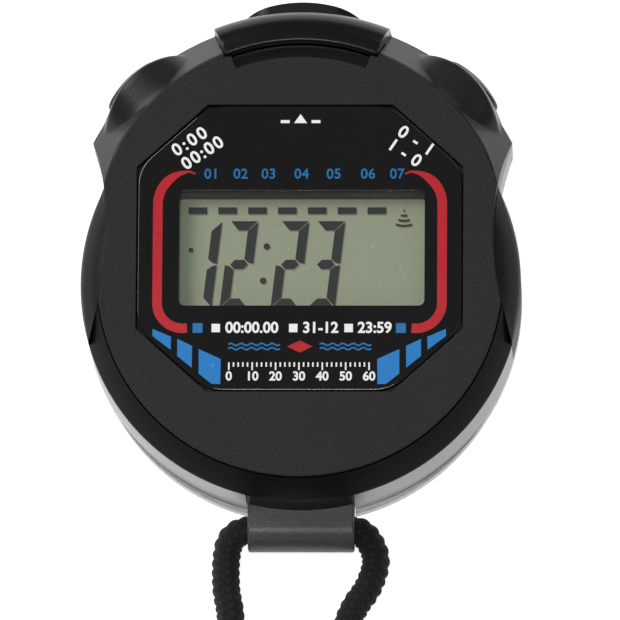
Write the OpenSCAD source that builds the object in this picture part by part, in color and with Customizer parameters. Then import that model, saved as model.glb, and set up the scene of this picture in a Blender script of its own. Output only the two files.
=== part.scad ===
// Digital sports stopwatch with three push buttons and a neck cord.
// It lies on its back: +Z runs out of the display, +Y towards the mode button,
// and the origin is the centre of the round lower body on the back face.

/* [Case] */
// Radius of the round lower body
body_r = 32.2; // [30:0.1:36]
// Radius of the shoulders that carry the buttons
shoulder_r = 34.8; // [33.5:0.1:38]
// Distance from the body's centre to the shoulders' centre
shoulder_y = 5.9; // [5:0.1:8]
// Half width of the front cover at the waist
waist_half = 28.2; // [27.4:0.1:29]
// Radius of the hollow waist arc on each side
waist_r = 46.7; // [44:0.1:52]
// Distance of the waist's middle above the body's centre
waist_y = 6.6; // [5:0.1:8]
// Thickness of the case wall round the lower body
wall = 2.2; // [1.6:0.1:2.6]
// Thickness of the back cover
back_t = 2.4; // [2:0.1:3]
// How far the back cover's rim stands out below the case
rim_out = 0.7; // [0:0.1:0.9]
// How much smaller the rim's circle is than the round body
rim_in = 0.8; // [0.6:0.1:1.2]
// Height of the front cover's face above the back face
face_z = 19.6; // [19:0.1:23]
// Height of the parting plane and of the button axes
parting_z = 9; // [8.6:0.1:9.6]
// Height of the silver wall round the lower body
ring_z = 13.6; // [13.2:0.1:14]
// Gap between two case pieces that fit together
fit = 0.1; // [0.05:0.01:0.2]

/* [Front cover] */
// Radius of the cover's lower edge
disc_r = 29.5; // [28.8:0.1:30]
// Radius of the cover's upper edge about the shoulders' centre
top_r = 29.8; // [29.4:0.1:30.4]
// Thickness of the cover's plate
cover_t = 2.6; // [2.2:0.1:3]
// Radial thickness of the skirt under the cover's edge
skirt_t = 2; // [1.5:0.1:2.2]
// Half width of the printed lens
lens_half_w = 23.7; // [22:0.1:24.5]
// Height of the printed lens from bottom to top
lens_h = 42.5; // [40:0.1:43]
// Place of the lens centre above the body's centre
lens_y = 4.35; // [4:0.05:5]
// Width of the lens corners' cut
lens_cut_x = 10.3; // [8:0.1:12]
// Height of the lens corners' cut
lens_cut_y = 9.3; // [7:0.1:11]
// Thickness of the lens
lens_t = 1.2; // [0.8:0.1:1.4]
// Half width of the display window
window_half_w = 18; // [16:0.1:19]
// Height of the display window
window_h = 17.3; // [15:0.1:18]
// Place of the window centre above the body's centre
window_y = 4.4; // [4:0.1:5]

/* [Mode hood] */
// Half angle of the hood over the mode button
hood_half = 22; // [20:1:28]
// Radius of the hood's front edge
hood_r = 29.3; // [28.8:0.1:29.6]
// Rise of the hood above the front cover's face
hood_rise = 0.6; // [0.2:0.1:1.2]
// Height of the hood's seat on the shoulders
hood_seat_z = 14; // [13.9:0.1:14.6]
// Half angle of the dark recess in front of the hood
recess_half = 20.5; // [18:0.5:24]
// Radius of the recess's front edge
recess_r = 27.1; // [26.5:0.1:28]
// Depth of the recess in the front cover
recess_depth = 1.5; // [0.8:0.1:1.8]

/* [Buttons] */
// Angle of the side buttons from the mode button
side_angle = 45; // [42:1:48]
// Radius of a side button's cap
cap_r = 4.9; // [4.4:0.1:5]
// Outer radius of the round collar about a side button
collar_r = 6.3; // [6:0.1:6.5]
// Distance of a collar's end from the shoulders' centre
collar_end = 36.2; // [36:0.1:36.6]
// Distance of a side cap's outer face from the shoulders' centre
cap_end = 36.7; // [36.6:0.1:37.6]
// Radius of the domed end of a side cap and of its collar
dome_r = 13; // [11:0.5:20]
// Radius of the mound over a side button at the front cover's edge
mound_in_r = 10.1; // [8.8:0.1:10.6]
// Radius of the mound over a side button at the collar's end
mound_out_r = 8.2; // [7.2:0.1:9]
// Width of the mode cap
mode_w = 17.5; // [12:0.5:18]
// Height of the mode cap
mode_h = 8.4; // [7:0.1:8.5]
// Distance of the mode cap's crown from the shoulders' centre
mode_end = 36.8; // [36.7:0.1:38.5]
// Radius of the mode cap's domed outer face
mode_dome_r = 19; // [15:0.5:24]
// Travel of a side button
side_travel = 0.8; // [0.5:0.1:0.9]
// Travel of the mode button
mode_travel = 0.8; // [0.5:0.1:0.9]
// Radius of a button's stem
stem_r = 1.2; // [1:0.1:1.4]
// Radial clearance of a stem in its hole and its seal
stem_gap = 0.05; // [0.02:0.01:0.1]
// Radial clearance of a cap in its pocket
cap_gap = 0.2; // [0.1:0.05:0.3]

/* [Inside] */
// Depth of the board's rear face below the front cover's plate
board_drop = 5.4; // [5:0.1:5.6]
// Thickness of the circuit board
board_t = 1; // [0.8:0.1:1.2]
// Gap between the board's edge and the front cover's edge
board_inset = 3.2; // [2.8:0.1:3.6]
// Half width of the display glass
glass_half_w = 22; // [20:0.1:22.2]
// Height of the rear display glass
glass_h = 26; // [22:0.1:26.5]
// Thickness of each display glass
glass_t = 0.8; // [0.6:0.1:0.9]
// Diameter of the button cell
cell_d = 11.6; // [9.5:0.1:12]
// Height of the button cell
cell_h = 5.4; // [4.8:0.1:5.6]
// Diameter of the buzzer disc
buzzer_d = 20; // [15:0.5:21]

/* [Cord] */
// Diameter of the neck cord
cord_d = 4.2; // [3.6:0.1:4.3]
// Outer radius of the lanyard lug's tube
lug_r = 3.2; // [3:0.1:3.4]
// Length of the lanyard lug's tube
lug_w = 15.6; // [12:0.1:18]
// Distance of the lug's axis below the body's edge
lug_drop = 2.4; // [2.2:0.1:3]
// Outer radius of the coiled cord
coil_r = 28.5; // [27:0.1:30]
// Number of turns side by side in the coil
coil_turns = 3; // [2:1:4]
// Number of layers in the coil
coil_layers = 2; // [1:1:2]

/* [Hidden] */
$fn = 180;
eps = 0.01;
far = 100;
waist_x = waist_half + waist_r;
// The corner where the waist arc meets the round body
waist_dist = norm([waist_x, waist_y]);
corner_a = (body_r * body_r - waist_r * waist_r + waist_dist * waist_dist) / (2 * waist_dist);
corner_h = sqrt(body_r * body_r - corner_a * corner_a);
split_y = (corner_a * waist_y + corner_h * waist_x) / waist_dist;
// Heights that follow from the case
plate_z = face_z - cover_t;
board_z = plate_z - board_drop;
ledge_t = 2;
ledge_z = ring_z - ledge_t;
step = 0.6;
shell_top_z = face_z - 1;
mound_top_z = shell_top_z - 0.1;
shell_slope_z = parting_z + 1.5;
grip_z = back_t + 1.1;
grip_shoulder_z = 12.5;
// Radii of the button pockets, as distances from the shoulders' centre
pocket_r = 32.2;
cavity_r = 30.4;
cap_t = cap_end - pocket_r - side_travel - 0.4;
mode_cap_t = mode_end - pocket_r - mode_travel - 0.4;
stem_end = 26.5;
leaf_r = stem_end - side_travel - 0.3;
leaf_t = 0.2;
spring_r = 2.9;
spring_wire = 0.35;
spring_turns = 3.5;
cap_roof = 1.6;
seal_t = 0.8;
seal_r = 2.2;
clip_t = 0.4;
groove_r = stem_r - 0.3;
// Display stack
board_top = board_z + board_t;
rear_glass_z = board_top + 2.6;
front_glass_z = rear_glass_z + glass_t;
front_glass_h = glass_h - 5;
reflector_t = 0.2;
frame_wall = 1.5;
zebra_w = 1.8;
posts_at = [for (s = [-1, 1]) each [[s * 18, -15], [s * 10.5, 23.5]]];
post_r = 2.2;
screw_r = 0.75;
head_t = 0.8;
head_r = 1.5;
// Back cover screws
back_screw_r = 1;
back_head_r = 1.9;
back_head_t = 1.1;
back_head_z = 0.3;
back_screw_len = 5;
boss_r = 2.4;
boss_top_z = parting_z;
back_screws_at = [
    for (s = [-1, 1]) each [
        [s * 32.4 * sin(24), shoulder_y + 32.4 * cos(24)],
        [s * 25.2, 16],
        [s * (body_r - wall - 1.4) * sin(45), -(body_r - wall - 1.4) * cos(45)],
    ]
];
// Power and sound
cell_at = [-9, -11];
cell_z = 4.2;
holder_wall = 1.2;
contact_t = 0.3;
buzzer_at = [11, -7];
buzzer_t = 0.4;
buzzer_spring_r = 1.6;
// Lug and cord
lug_y = -(body_r + lug_drop);
lug_z = lug_r + 0.4;
lug_bore_r = cord_d / 2 + 0.1;
lug_top_z = lug_z + lug_r;
lug_foot_z = lug_z - 2;
tab_t = 1;
lug_root = body_r - wall - 1;
cord_r = cord_d / 2;
coil_at = [0, lug_y - 53.4];
coil_in_r = coil_r - coil_turns * cord_d;
clip_r = 2.9;
clip_len = 8;
clip_from = [-12.5, lug_y - 19.4];
clip_to = [-17, lug_y - 26.4];
clip_mid_z = 2.9;
// Route of the cord's left stretch, from inside the lug to the coil
cord_left_route = [
    [0, lug_y, lug_z],
    [-4, lug_y, lug_z],
    [-8, lug_y, lug_z],
    [-10.2, lug_y - 1.2, 3.1],
    [-11, lug_y - 3.9, 2.3],
    [-11, lug_y - 8.4, 2.1],
    [-10.4, lug_y - 13.4, 2.3],
    [clip_from[0], clip_from[1], clip_mid_z],
    [clip_to[0], clip_to[1], clip_mid_z],
    [-19.6, lug_y - 30.9, 2.3],
];
// Route of the cord's right stretch, from inside the lug to the coil
cord_right_route = [
    [0, lug_y, lug_z],
    [4, lug_y, lug_z],
    [8, lug_y, lug_z],
    [10, lug_y - 1.6, 3.1],
    [10.9, lug_y - 4.4, 2.3],
    [9.8, lug_y - 8.1, 2.1],
    [7.7, lug_y - 11.4, 2.1],
    [6.5, lug_y - 15.4, 2.1],
    [8, lug_y - 19.9, 2.4],
    [13, lug_y - 24.4, 3.6],
    [19.6, lug_y - 30.9, 6],
];

// ---- Outlines ----

// The two waist circles, grown by d
module waist(d = 0) {
    for (s = [-1, 1])
        translate([s * waist_x, waist_y])
            circle(r = waist_r + d);
}

// A circle about the shoulders' centre
module shoulder_circle(r) {
    translate([0, shoulder_y])
        circle(r = r);
}

// A half plane above or below a line across the case
module above(y) {
    translate([-far, y])
        square([2 * far, far]);
}

module below(y) {
    translate([-far, y - far])
        square([2 * far, far]);
}

// Shoulders down to the corner at the waist
module shoulder_plan() {
    difference() {
        shoulder_circle(shoulder_r);
        waist();
        below(split_y);
    }
}

// Whole outline of the case
module case_plan() {
    circle(r = body_r);
    difference() {
        shoulder_circle(shoulder_r);
        waist();
        below(waist_y);
    }
}

// Outline of the case's hollow
module cavity_plan() {
    difference() {
        union() {
            intersection() {
                circle(r = body_r - wall);
                below(split_y);
            }
            shoulder_circle(cavity_r);
        }
        waist(wall);
    }
}

// Outline of the front cover, grown by d
module cover_plan(d = 0) {
    difference() {
        union() {
            circle(r = disc_r + d);
            shoulder_circle(top_r + d);
        }
        waist(-d);
    }
}

// Outline of the printed lens, grown by d
module lens_plan(d = 0) {
    x = lens_half_w + d;
    y = lens_h / 2 + d;
    cx = lens_cut_x;
    cy = lens_cut_y;
    translate([0, lens_y])
        polygon([
            [x - cx, y], [x, y - cy], [x, cy - y], [x - cx, -y],
            [cx - x, -y], [-x, cy - y], [-x, y - cy], [cx - x, y],
        ]);
}

// Rectangle centred on x = 0 about a height y
module centred(half_w, h, y) {
    translate([-half_w, y - h / 2])
        square([2 * half_w, h]);
}

// Flat layer of a plan between two heights
module layer(z0, z1) {
    translate([0, 0, z0])
        linear_extrude(height = z1 - z0)
            children();
}

// Wedge about the shoulders' centre, half_angle each side of +Y
module wedge(half_angle, z0, z1) {
    layer(z0, z1)
        translate([0, shoulder_y])
            polygon([[0, 0], far * [-sin(half_angle), cos(half_angle)],
                     far * [sin(half_angle), cos(half_angle)]]);
}

// Ring about the shoulders' centre
module shoulder_ring(r0, r1, z0, z1) {
    layer(z0, z1)
        difference() {
            shoulder_circle(r1);
            shoulder_circle(r0);
        }
}

// Places its children with +Z running out along a button's axis
module at_button(angle) {
    translate([0, shoulder_y, parting_z])
        rotate([0, 0, -angle])
            rotate([-90, 0, 0])
                children();
}

// Tube along its own Z axis between two distances
module tube(r0, r1, z0, z1) {
    translate([0, 0, z0])
        difference() {
            cylinder(r = r1, h = z1 - z0);
            translate([0, 0, -1])
                cylinder(r = r0, h = z1 - z0 + 2);
        }
}

module rod(r, z0, z1) {
    translate([0, 0, z0])
        cylinder(r = r, h = z1 - z0);
}

// Oblong prism of a cap, w wide and h high, along its own Z axis
module oblong(w, h, z0, z1) {
    translate([0, 0, z0])
        linear_extrude(height = z1 - z0) {
            square([w - h, h], center = true);
            for (s = [-1, 1])
                translate([s * (w - h) / 2, 0])
                    circle(d = h);
        }
}

// ---- Swept tubes ----

function unit(v) = v / norm(v);
function path_dir(p, i) = unit(p[min(i + 1, len(p) - 1)] - p[max(i - 1, 0)]);
function ring_at(c, t, r, n) =
    let (s = unit(cross(t, [0, 0, 1])), u = cross(s, t))
    [for (k = [0 : n - 1]) c + r * (cos(360 * k / n) * s + sin(360 * k / n) * u)];

// Round tube swept along a path of points
module sweep(path, r, n) {
    last = len(path) - 1;
    points = [for (i = [0 : last]) each ring_at(path[i], path_dir(path, i), r, n)];
    sides = [for (i = [0 : last - 1], k = [0 : n - 1])
        [i * n + k, (i + 1) * n + k, (i + 1) * n + (k + 1) % n, i * n + (k + 1) % n]];
    start = [for (k = [0 : n - 1]) k];
    end = [for (k = [n - 1 : -1 : 0]) last * n + k];
    polyhedron(points = points, faces = concat([start], sides, [end]), convexity = 6);
}

// Point between b and c on a smooth curve through a, b, c and d
function blend(a, b, c, d, t) =
    ((2 * b) + (c - a) * t + (2 * a - 5 * b + 4 * c - d) * t * t
     + (3 * b - a - 3 * c + d) * t * t * t) / 2;
function smooth(p, n) = [
    for (i = [0 : len(p) - 2], k = [0 : n - 1])
        blend(p[max(i - 1, 0)], p[i], p[i + 1], p[min(i + 2, len(p) - 1)], k / n),
    p[len(p) - 1]
];

// Coil spring about its own Z axis
module coil_spring(r, wire_r, turns, z0, z1) {
    steps = 12 * turns;
    sweep([for (i = [0 : steps])
        [r * cos(30 * i), r * sin(30 * i), z0 + wire_r + (z1 - z0 - 2 * wire_r) * i / steps]],
        wire_r, 6);
}

// ---- Case ----

// Ball that rounds off what stands out along a side button's axis
module dome(end) {
    translate([0, 0, end - dome_r])
        sphere(r = dome_r);
}

// Round collars about the side buttons
module collars() {
    for (s = [-1, 1])
        at_button(s * side_angle)
            intersection() {
                rod(collar_r, cavity_r, collar_end);
                dome(collar_end);
            }
}

// Wide mounds that lead from the front cover's edge over the side buttons
module mounds() {
    for (s = [-1, 1])
        intersection() {
            at_button(s * side_angle)
                translate([0, 0, cavity_r - 1])
                    cylinder(r1 = mound_in_r, r2 = mound_out_r, h = collar_end - cavity_r + 1);
            at_button(s * side_angle)
                dome(collar_end);
            layer(parting_z, mound_top_z)
                above(split_y);
        }
}

module button_holes() {
    for (s = [-1, 1])
        at_button(s * side_angle) {
            rod(cap_r + cap_gap, pocket_r, far / 2);
            rod(seal_r + fit / 2, pocket_r - seal_t, pocket_r + 1);
            rod(stem_r + stem_gap, cavity_r - 2, pocket_r + 1);
        }
    at_button(0) {
        oblong(mode_w + 2 * cap_gap, mode_h + 2 * cap_gap, pocket_r, far / 2);
        rod(seal_r + fit / 2, pocket_r - seal_t, pocket_r + 1);
        rod(stem_r + stem_gap, cavity_r - 2, pocket_r + 1);
    }
}

// Outline of one grip, the lens between the waist arc and the round body
module grip_plan(s, d = 0) {
    intersection() {
        circle(r = body_r + 1);
        translate([s * waist_x, waist_y])
            circle(r = waist_r + d);
        above(-body_r);
    }
}

module grip(s) {
    color("#26272a")
        intersection() {
            layer(grip_z, face_z)
                grip_plan(s, -fit / 2);
            rotate_extrude()
                polygon([
                    [0, grip_z],
                    [body_r, grip_z],
                    [body_r, grip_shoulder_z],
                    for (a = [15 : 15 : 75])
                        [disc_r - 1 + (body_r - disc_r + 1) * cos(a),
                         grip_shoulder_z + (shell_top_z + 0.3 - grip_shoulder_z) * sin(a)],
                    [disc_r - 1, shell_top_z + 0.3],
                    [0, shell_top_z + 0.3],
                ]);
        }
}

module lug_notch(d = 0) {
    translate([-lug_w / 2 - d, lug_y - 2 * lug_r, -1])
        cube([lug_w + 2 * d, -lug_y + 2 * lug_r - lug_root, lug_top_z + d + 1]);
}

// The lower ring's tab that covers the wall above the lug, grown by d
module ring_tab(d = 0) {
    layer(lug_top_z + fit - d, ring_z + 0.2 + d)
        intersection() {
            difference() {
                circle(r = body_r + d);
                circle(r = body_r - tab_t - d);
            }
            translate([-lug_w / 2 - d, -far])
                square([lug_w + 2 * d, far]);
        }
}

module mid_case() {
    color("#a9aba8")
        difference() {
            union() {
                difference() {
                    union() {
                        layer(back_t, parting_z)
                            case_plan();
                        layer(back_t, ring_z)
                            intersection() {
                                case_plan();
                                below(split_y);
                            }
                        intersection() {
                            collars();
                            layer(back_t, parting_z)
                                circle(r = far);
                        }
                    }
                    layer(back_t - 1, ledge_z)
                        cavity_plan();
                    layer(ledge_z - 1, far)
                        cover_plan(-skirt_t);
                    for (s = [-1, 1])
                        layer(grip_z, far)
                            grip_plan(s, 0);
                }
                intersection() {
                    for (p = back_screws_at)
                        translate(p)
                            rod(boss_r, back_t, boss_top_z);
                    layer(back_t, boss_top_z)
                        difference() {
                            case_plan();
                            waist();
                        }
                }
            }
            for (p = back_screws_at)
                translate(p)
                    rod(back_screw_r + stem_gap, 0, back_t + back_screw_len);
            button_holes();
            lug_notch(fit);
            ring_tab(fit);
        }
}

module upper_shell() {
    color("#2b2c2f")
        difference() {
            union() {
                intersection() {
                    translate([0, shoulder_y])
                        rotate_extrude()
                            polygon([
                                [0, parting_z],
                                [shoulder_r, parting_z],
                                [shoulder_r, shell_slope_z],
                                [top_r, shell_top_z],
                                [0, shell_top_z],
                            ]);
                    layer(parting_z, far)
                        shoulder_plan();
                }
                intersection() {
                    shoulder_ring(cavity_r, shoulder_r, parting_z, hood_seat_z);
                    wedge(hood_half, 0, far);
                }
                mounds();
            }
            layer(parting_z - 1, ledge_z)
                cavity_plan();
            layer(ledge_z - 1, far)
                cover_plan(-skirt_t);
            layer(ring_z, far)
                cover_plan(fit);
            intersection() {
                shoulder_ring(hood_r - fit, far, hood_seat_z, far);
                wedge(hood_half + 0.4, 0, far);
            }
            button_holes();
        }
}

module lower_ring() {
    color("#1d1e20") {
        difference() {
            rotate_extrude()
                polygon([
                    [disc_r + fit, ring_z],
                    [body_r, ring_z],
                    [body_r, ring_z + 0.3],
                    [disc_r + fit, face_z - step],
                ]);
            layer(0, far)
                waist(fit / 2);
            layer(0, far)
                above(waist_y);
        }
        ring_tab();
    }
}

module front_cover() {
    color("#2e2f31")
        difference() {
            union() {
                layer(ring_z, face_z)
                    cover_plan();
                for (p = posts_at)
                    translate(p)
                        rod(post_r, board_top, plate_z + eps);
            }
            difference() {
                layer(ring_z - 1, plate_z)
                    cover_plan(-skirt_t);
                for (p = posts_at)
                    translate(p)
                        rod(post_r, board_top, plate_z + 1);
            }
            layer(face_z - lens_t - 0.2, far)
                lens_plan(fit);
            layer(plate_z - 1, far)
                centred(window_half_w + 0.8, window_h + 1.6, window_y);
            intersection() {
                shoulder_ring(recess_r, far, face_z - recess_depth, far);
                wedge(recess_half, 0, far);
            }
            intersection() {
                shoulder_ring(hood_r - fit, far, 0, far);
                wedge(hood_half + 0.4, 0, far);
            }
            for (p = posts_at)
                translate(p)
                    rod(screw_r + stem_gap, board_top - 1, plate_z - 0.4);
        }
}

module lens_panel() {
    color("#121315")
        layer(face_z - lens_t - 0.2, face_z - 0.2)
            lens_plan();
}

module mode_hood() {
    drop = face_z + hood_rise - hood_seat_z;
    color("#1a1b1d")
        intersection() {
            translate([0, shoulder_y])
                rotate_extrude()
                    polygon([
                        [hood_r, hood_seat_z],
                        for (a = [0 : 10 : 80])
                            [hood_r + 1 + (shoulder_r - hood_r - 1) * cos(a),
                             hood_seat_z + drop * sin(a)],
                        [hood_r + 0.5, hood_seat_z + drop],
                        [hood_r, hood_seat_z + drop - 0.4],
                    ]);
            wedge(hood_half, 0, far);
        }
}

module back_cover() {
    color("#a4a6a3")
        difference() {
            union() {
                layer(0, back_t) {
                    case_plan();
                    translate([0, -rim_out - rim_in])
                        circle(r = body_r - rim_in);
                }
                layer(back_t - 1, back_t + 0.8)
                    difference() {
                        offset_cavity(0.15);
                        offset_cavity(1.2);
                    }
            }
            layer(back_t - 0.6, back_t + 1)
                gasket_plan();
            for (p = back_screws_at)
                translate(p) {
                    rod(back_screw_r + 0.2, -1, back_t + 2);
                    rod(back_head_r + 0.2, -1, back_head_z + back_head_t);
                    translate([0, 0, back_t])
                        rod(boss_r + 0.3, 0, 2);
                }
            lug_notch(fit);
        }
}

// The case's hollow, shrunk by d
module offset_cavity(d) {
    difference() {
        union() {
            intersection() {
                circle(r = body_r - wall - d);
                below(split_y);
            }
            shoulder_circle(cavity_r - d);
        }
        waist(wall + d);
    }
}

// The gasket lies in the lower body's wall and follows the shoulders
module gasket_plan() {
    difference() {
        circle(r = body_r - 0.5);
        circle(r = body_r - 1.3);
        above(-1);
        translate([-lug_w / 2 - 1, -far])
            square([lug_w + 2, far]);
    }
    difference() {
        shoulder_circle(shoulder_r - 0.5);
        shoulder_circle(shoulder_r - 1.1);
        below(split_y + 7);
    }
}

module case_gasket() {
    color("#3a3a3a")
        layer(back_t - 0.6, back_t)
            gasket_plan();
}

module back_screws() {
    color("#8d8f92")
        for (p = back_screws_at)
            translate(p)
                difference() {
                    union() {
                        rod(back_head_r, back_head_z, back_head_z + back_head_t);
                        rod(back_screw_r, back_head_z, back_t + back_screw_len - 0.5);
                    }
                    translate([-1.3, -0.2, back_head_z - 1])
                        cube([2.6, 0.4, 1.5]);
                    translate([-0.2, -1.3, back_head_z - 1])
                        cube([0.4, 2.6, 1.5]);
                }
}

module lanyard_lug() {
    root_y = -lug_root;
    color("#1b1c1e")
        difference() {
            union() {
                translate([-lug_w / 2, lug_y, lug_z])
                    rotate([0, 90, 0])
                        cylinder(r = lug_r, h = lug_w);
                translate([-lug_w / 2, lug_y, lug_foot_z])
                    cube([lug_w, root_y - lug_y, lug_top_z - lug_foot_z]);
            }
            translate([-lug_w / 2 - 1, lug_y, lug_z])
                rotate([0, 90, 0])
                    cylinder(r = lug_bore_r, h = lug_w + 2);
        }
}

// ---- Display and circuit ----

module lcd_front_glass() {
    color("#9aa08a")
        layer(front_glass_z, front_glass_z + glass_t)
            centred(glass_half_w, front_glass_h, window_y + 0.8);
}

module lcd_rear_glass() {
    color("#aab09a")
        layer(rear_glass_z, rear_glass_z + glass_t)
            centred(glass_half_w, glass_h, window_y);
}

module lcd_reflector() {
    color("#c6cabb")
        layer(rear_glass_z - reflector_t, rear_glass_z)
            centred(glass_half_w - 1, glass_h - 6, window_y);
}

module lcd_frame() {
    color("#e6e6e2")
        difference() {
            layer(board_top, plate_z - fit)
                centred(glass_half_w + frame_wall, glass_h + 2 * frame_wall, window_y);
            layer(board_top - 1, far)
                centred(glass_half_w - 1, glass_h - 0.6, window_y);
            layer(rear_glass_z, far)
                centred(glass_half_w + fit, glass_h + 2 * fit, window_y);
        }
}

module zebra_strips() {
    color("#4a4a4c")
        for (s = [-1, 1])
            layer(board_top, rear_glass_z)
                centred(glass_half_w - 2, zebra_w, window_y + s * (glass_h / 2 - 1.6));
}

module circuit_board() {
    color("#1f6b3a")
        difference() {
            layer(board_z, board_top)
                cover_plan(-board_inset);
            for (p = posts_at)
                translate(p)
                    rod(screw_r + 0.2, board_z - 1, board_top + 1);
        }
}

module chip_blob() {
    color("#0f0f10")
        translate([2, 9, board_z])
            rotate([180, 0, 0])
                rotate_extrude()
                    polygon([[0, 0], [5, 0], [4.6, 0.6], [3.4, 1.1], [1.8, 1.4], [0, 1.5]]);
}

module quartz_crystal() {
    color("#c4c6c8")
        translate([-16, 6, board_z - 1.5])
            rotate([-90, 0, 0])
                cylinder(r = 1.5, h = 8);
}

module chip_capacitors() {
    color("#b9925a")
        for (i = [0 : 2])
            translate([12, 1 + 3.5 * i, board_z - 1])
                cube([2, 1.25, 1]);
}

module board_screws() {
    color("#9a9ca0")
        for (p = posts_at)
            translate(p)
                difference() {
                    union() {
                        rod(head_r, board_z - head_t, board_z);
                        rod(screw_r, board_z - head_t, plate_z - 1);
                    }
                    translate([-1, -0.15, board_z - head_t - 1])
                        cube([2, 0.3, 1.4]);
                }
}

// Springy brass leaf that a stem pushes, hung from the board
module contact_leaf(angle) {
    color("#c9a24b")
        at_button(angle) {
            translate([-1.5, parting_z - board_z, leaf_r - leaf_t])
                cube([3, board_z - parting_z + 1.6, leaf_t]);
            translate([-1.5, parting_z - board_z, leaf_r - 3.2])
                cube([3, leaf_t, 3.2]);
        }
}

// ---- Power and sound ----

module at_cell(z) {
    translate([cell_at[0], cell_at[1], z])
        children();
}

module battery() {
    color("#c9cbcd")
        at_cell(cell_z) {
            cylinder(d = cell_d, h = cell_h - 0.6);
            cylinder(d = cell_d - 2.4, h = cell_h);
        }
}

module battery_holder() {
    color("#d8d8d4")
        at_cell(0)
            difference() {
                tube(cell_d / 2 + 0.15, cell_d / 2 + holder_wall, cell_z + 0.3, board_z);
                translate([-2.1, 0, cell_z - 1])
                    cube([4.2, cell_d, board_z - cell_z + 2]);
            }
}

module battery_plus() {
    leg_y = cell_d / 2 + 0.2;
    color("#cfae55")
        at_cell(0) {
            translate([-2, -4, cell_z - contact_t])
                cube([4, leg_y + 4 + contact_t, contact_t]);
            translate([-2, leg_y, cell_z - contact_t])
                cube([4, contact_t, board_z - cell_z + contact_t]);
        }
}

module battery_minus() {
    top = cell_z + cell_h;
    color("#cfae55")
        at_cell(0) {
            translate([-4, -1.5, top])
                cube([7, 3, contact_t]);
            translate([3, -1.5, top])
                cube([contact_t, 3, board_z - top]);
            translate([-1, -1.5, board_z - contact_t])
                cube([4, 3, contact_t]);
        }
}

module buzzer_disc() {
    color("#c8a548")
        translate([buzzer_at[0], buzzer_at[1], back_t])
            cylinder(d = buzzer_d, h = buzzer_t);
}

module buzzer_spring() {
    color("#c4c6c8")
        translate([buzzer_at[0], buzzer_at[1], 0])
            coil_spring(buzzer_spring_r, 0.2, 6, back_t + buzzer_t, board_z);
}

// ---- Buttons ----

// Stem with its clip groove, from inside the case to under the cap
module stem(top) {
    difference() {
        rod(stem_r, stem_end, top);
        tube(groove_r, stem_r + 1, cavity_r - clip_t - 0.15, cavity_r);
    }
}

module side_button(angle) {
    base = cap_end - cap_t;
    color("#222326")
        at_button(angle) {
            difference() {
                intersection() {
                    rod(cap_r, base, cap_end);
                    dome(cap_end);
                }
                rod(spring_r + spring_wire + 0.3, base - 1, cap_end - cap_roof);
            }
            stem(cap_end - cap_roof + eps);
        }
}

module mode_button() {
    base = mode_end - mode_cap_t;
    color("#222326")
        at_button(0) {
            intersection() {
                difference() {
                    oblong(mode_w, mode_h, base, mode_end);
                    rod(spring_r + spring_wire + 0.3, base - 1, mode_end - cap_roof);
                }
                translate([0, far / 2, mode_end - mode_dome_r])
                    rotate([90, 0, 0])
                        cylinder(r = mode_dome_r, h = far);
            }
            stem(mode_end - cap_roof + eps);
        }
}

module return_spring(angle, top) {
    color("#c4c6c8")
        at_button(angle)
            coil_spring(spring_r, spring_wire, spring_turns, pocket_r + 0.02, top - cap_roof - 0.02);
}

module stem_seal(angle) {
    color("#151515")
        at_button(angle)
            tube(stem_r + stem_gap, seal_r, pocket_r - seal_t, pocket_r - fit);
}

module stem_clip(angle) {
    color("#b4b6b9")
        at_button(angle)
            difference() {
                tube(groove_r + stem_gap, stem_r + 1, cavity_r - clip_t - 0.1, cavity_r - 0.1);
                translate([-groove_r + 0.1, 0, cavity_r - 2])
                    cube([2 * groove_r - 0.2, 4, 3]);
            }
}

// ---- Cord ----

module cord_left() {
    color("#1c1c1e")
        sweep(smooth(cord_left_route, 3), cord_r, 10);
}

module cord_right() {
    color("#1c1c1e")
        sweep(smooth(cord_right_route, 3), cord_r, 10);
}

module cord_coil() {
    color("#1c1c1e")
        translate([coil_at[0], coil_at[1], 0])
            rotate_extrude()
                translate([coil_in_r, 0])
                    square([coil_r - coil_in_r, coil_layers * cord_d]);
}

module cord_clip() {
    dir = clip_to - clip_from;
    mid = (clip_from + clip_to) / 2;
    color("#2a2a2c")
        translate([mid[0], mid[1], clip_mid_z])
            rotate([0, 0, atan2(dir[1], dir[0])])
                rotate([0, 90, 0])
                    tube(cord_r + 0.02, clip_r, -clip_len / 2, clip_len / 2);
}

front_cover();
lens_panel();
upper_shell();
lower_ring();
mode_hood();
grip(-1);  // left_grip
grip(1);  // right_grip
mid_case();
back_cover();
case_gasket();
back_screws();
lanyard_lug();
lcd_front_glass();
lcd_rear_glass();
lcd_reflector();
lcd_frame();
zebra_strips();
circuit_board();
chip_blob();
quartz_crystal();
chip_capacitors();
board_screws();
contact_leaf(-side_angle);  // left_contact
contact_leaf(0);  // mode_contact
contact_leaf(side_angle);  // right_contact
battery();
battery_holder();
battery_plus();
battery_minus();
buzzer_disc();
buzzer_spring();
side_button(-side_angle);  // left_button
mode_button();
side_button(side_angle);  // right_button
return_spring(-side_angle, cap_end);  // left_spring
return_spring(0, mode_end);  // mode_spring
return_spring(side_angle, cap_end);  // right_spring
stem_seal(-side_angle);  // left_seal
stem_seal(0);  // mode_seal
stem_seal(side_angle);  // right_seal
stem_clip(-side_angle);  // left_clip
stem_clip(0);  // mode_clip
stem_clip(side_angle);  // right_clip
cord_left();
cord_right();
cord_coil();
cord_clip();
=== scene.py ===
import math

import bmesh
import bpy
from mathutils import Matrix, Vector


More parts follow.
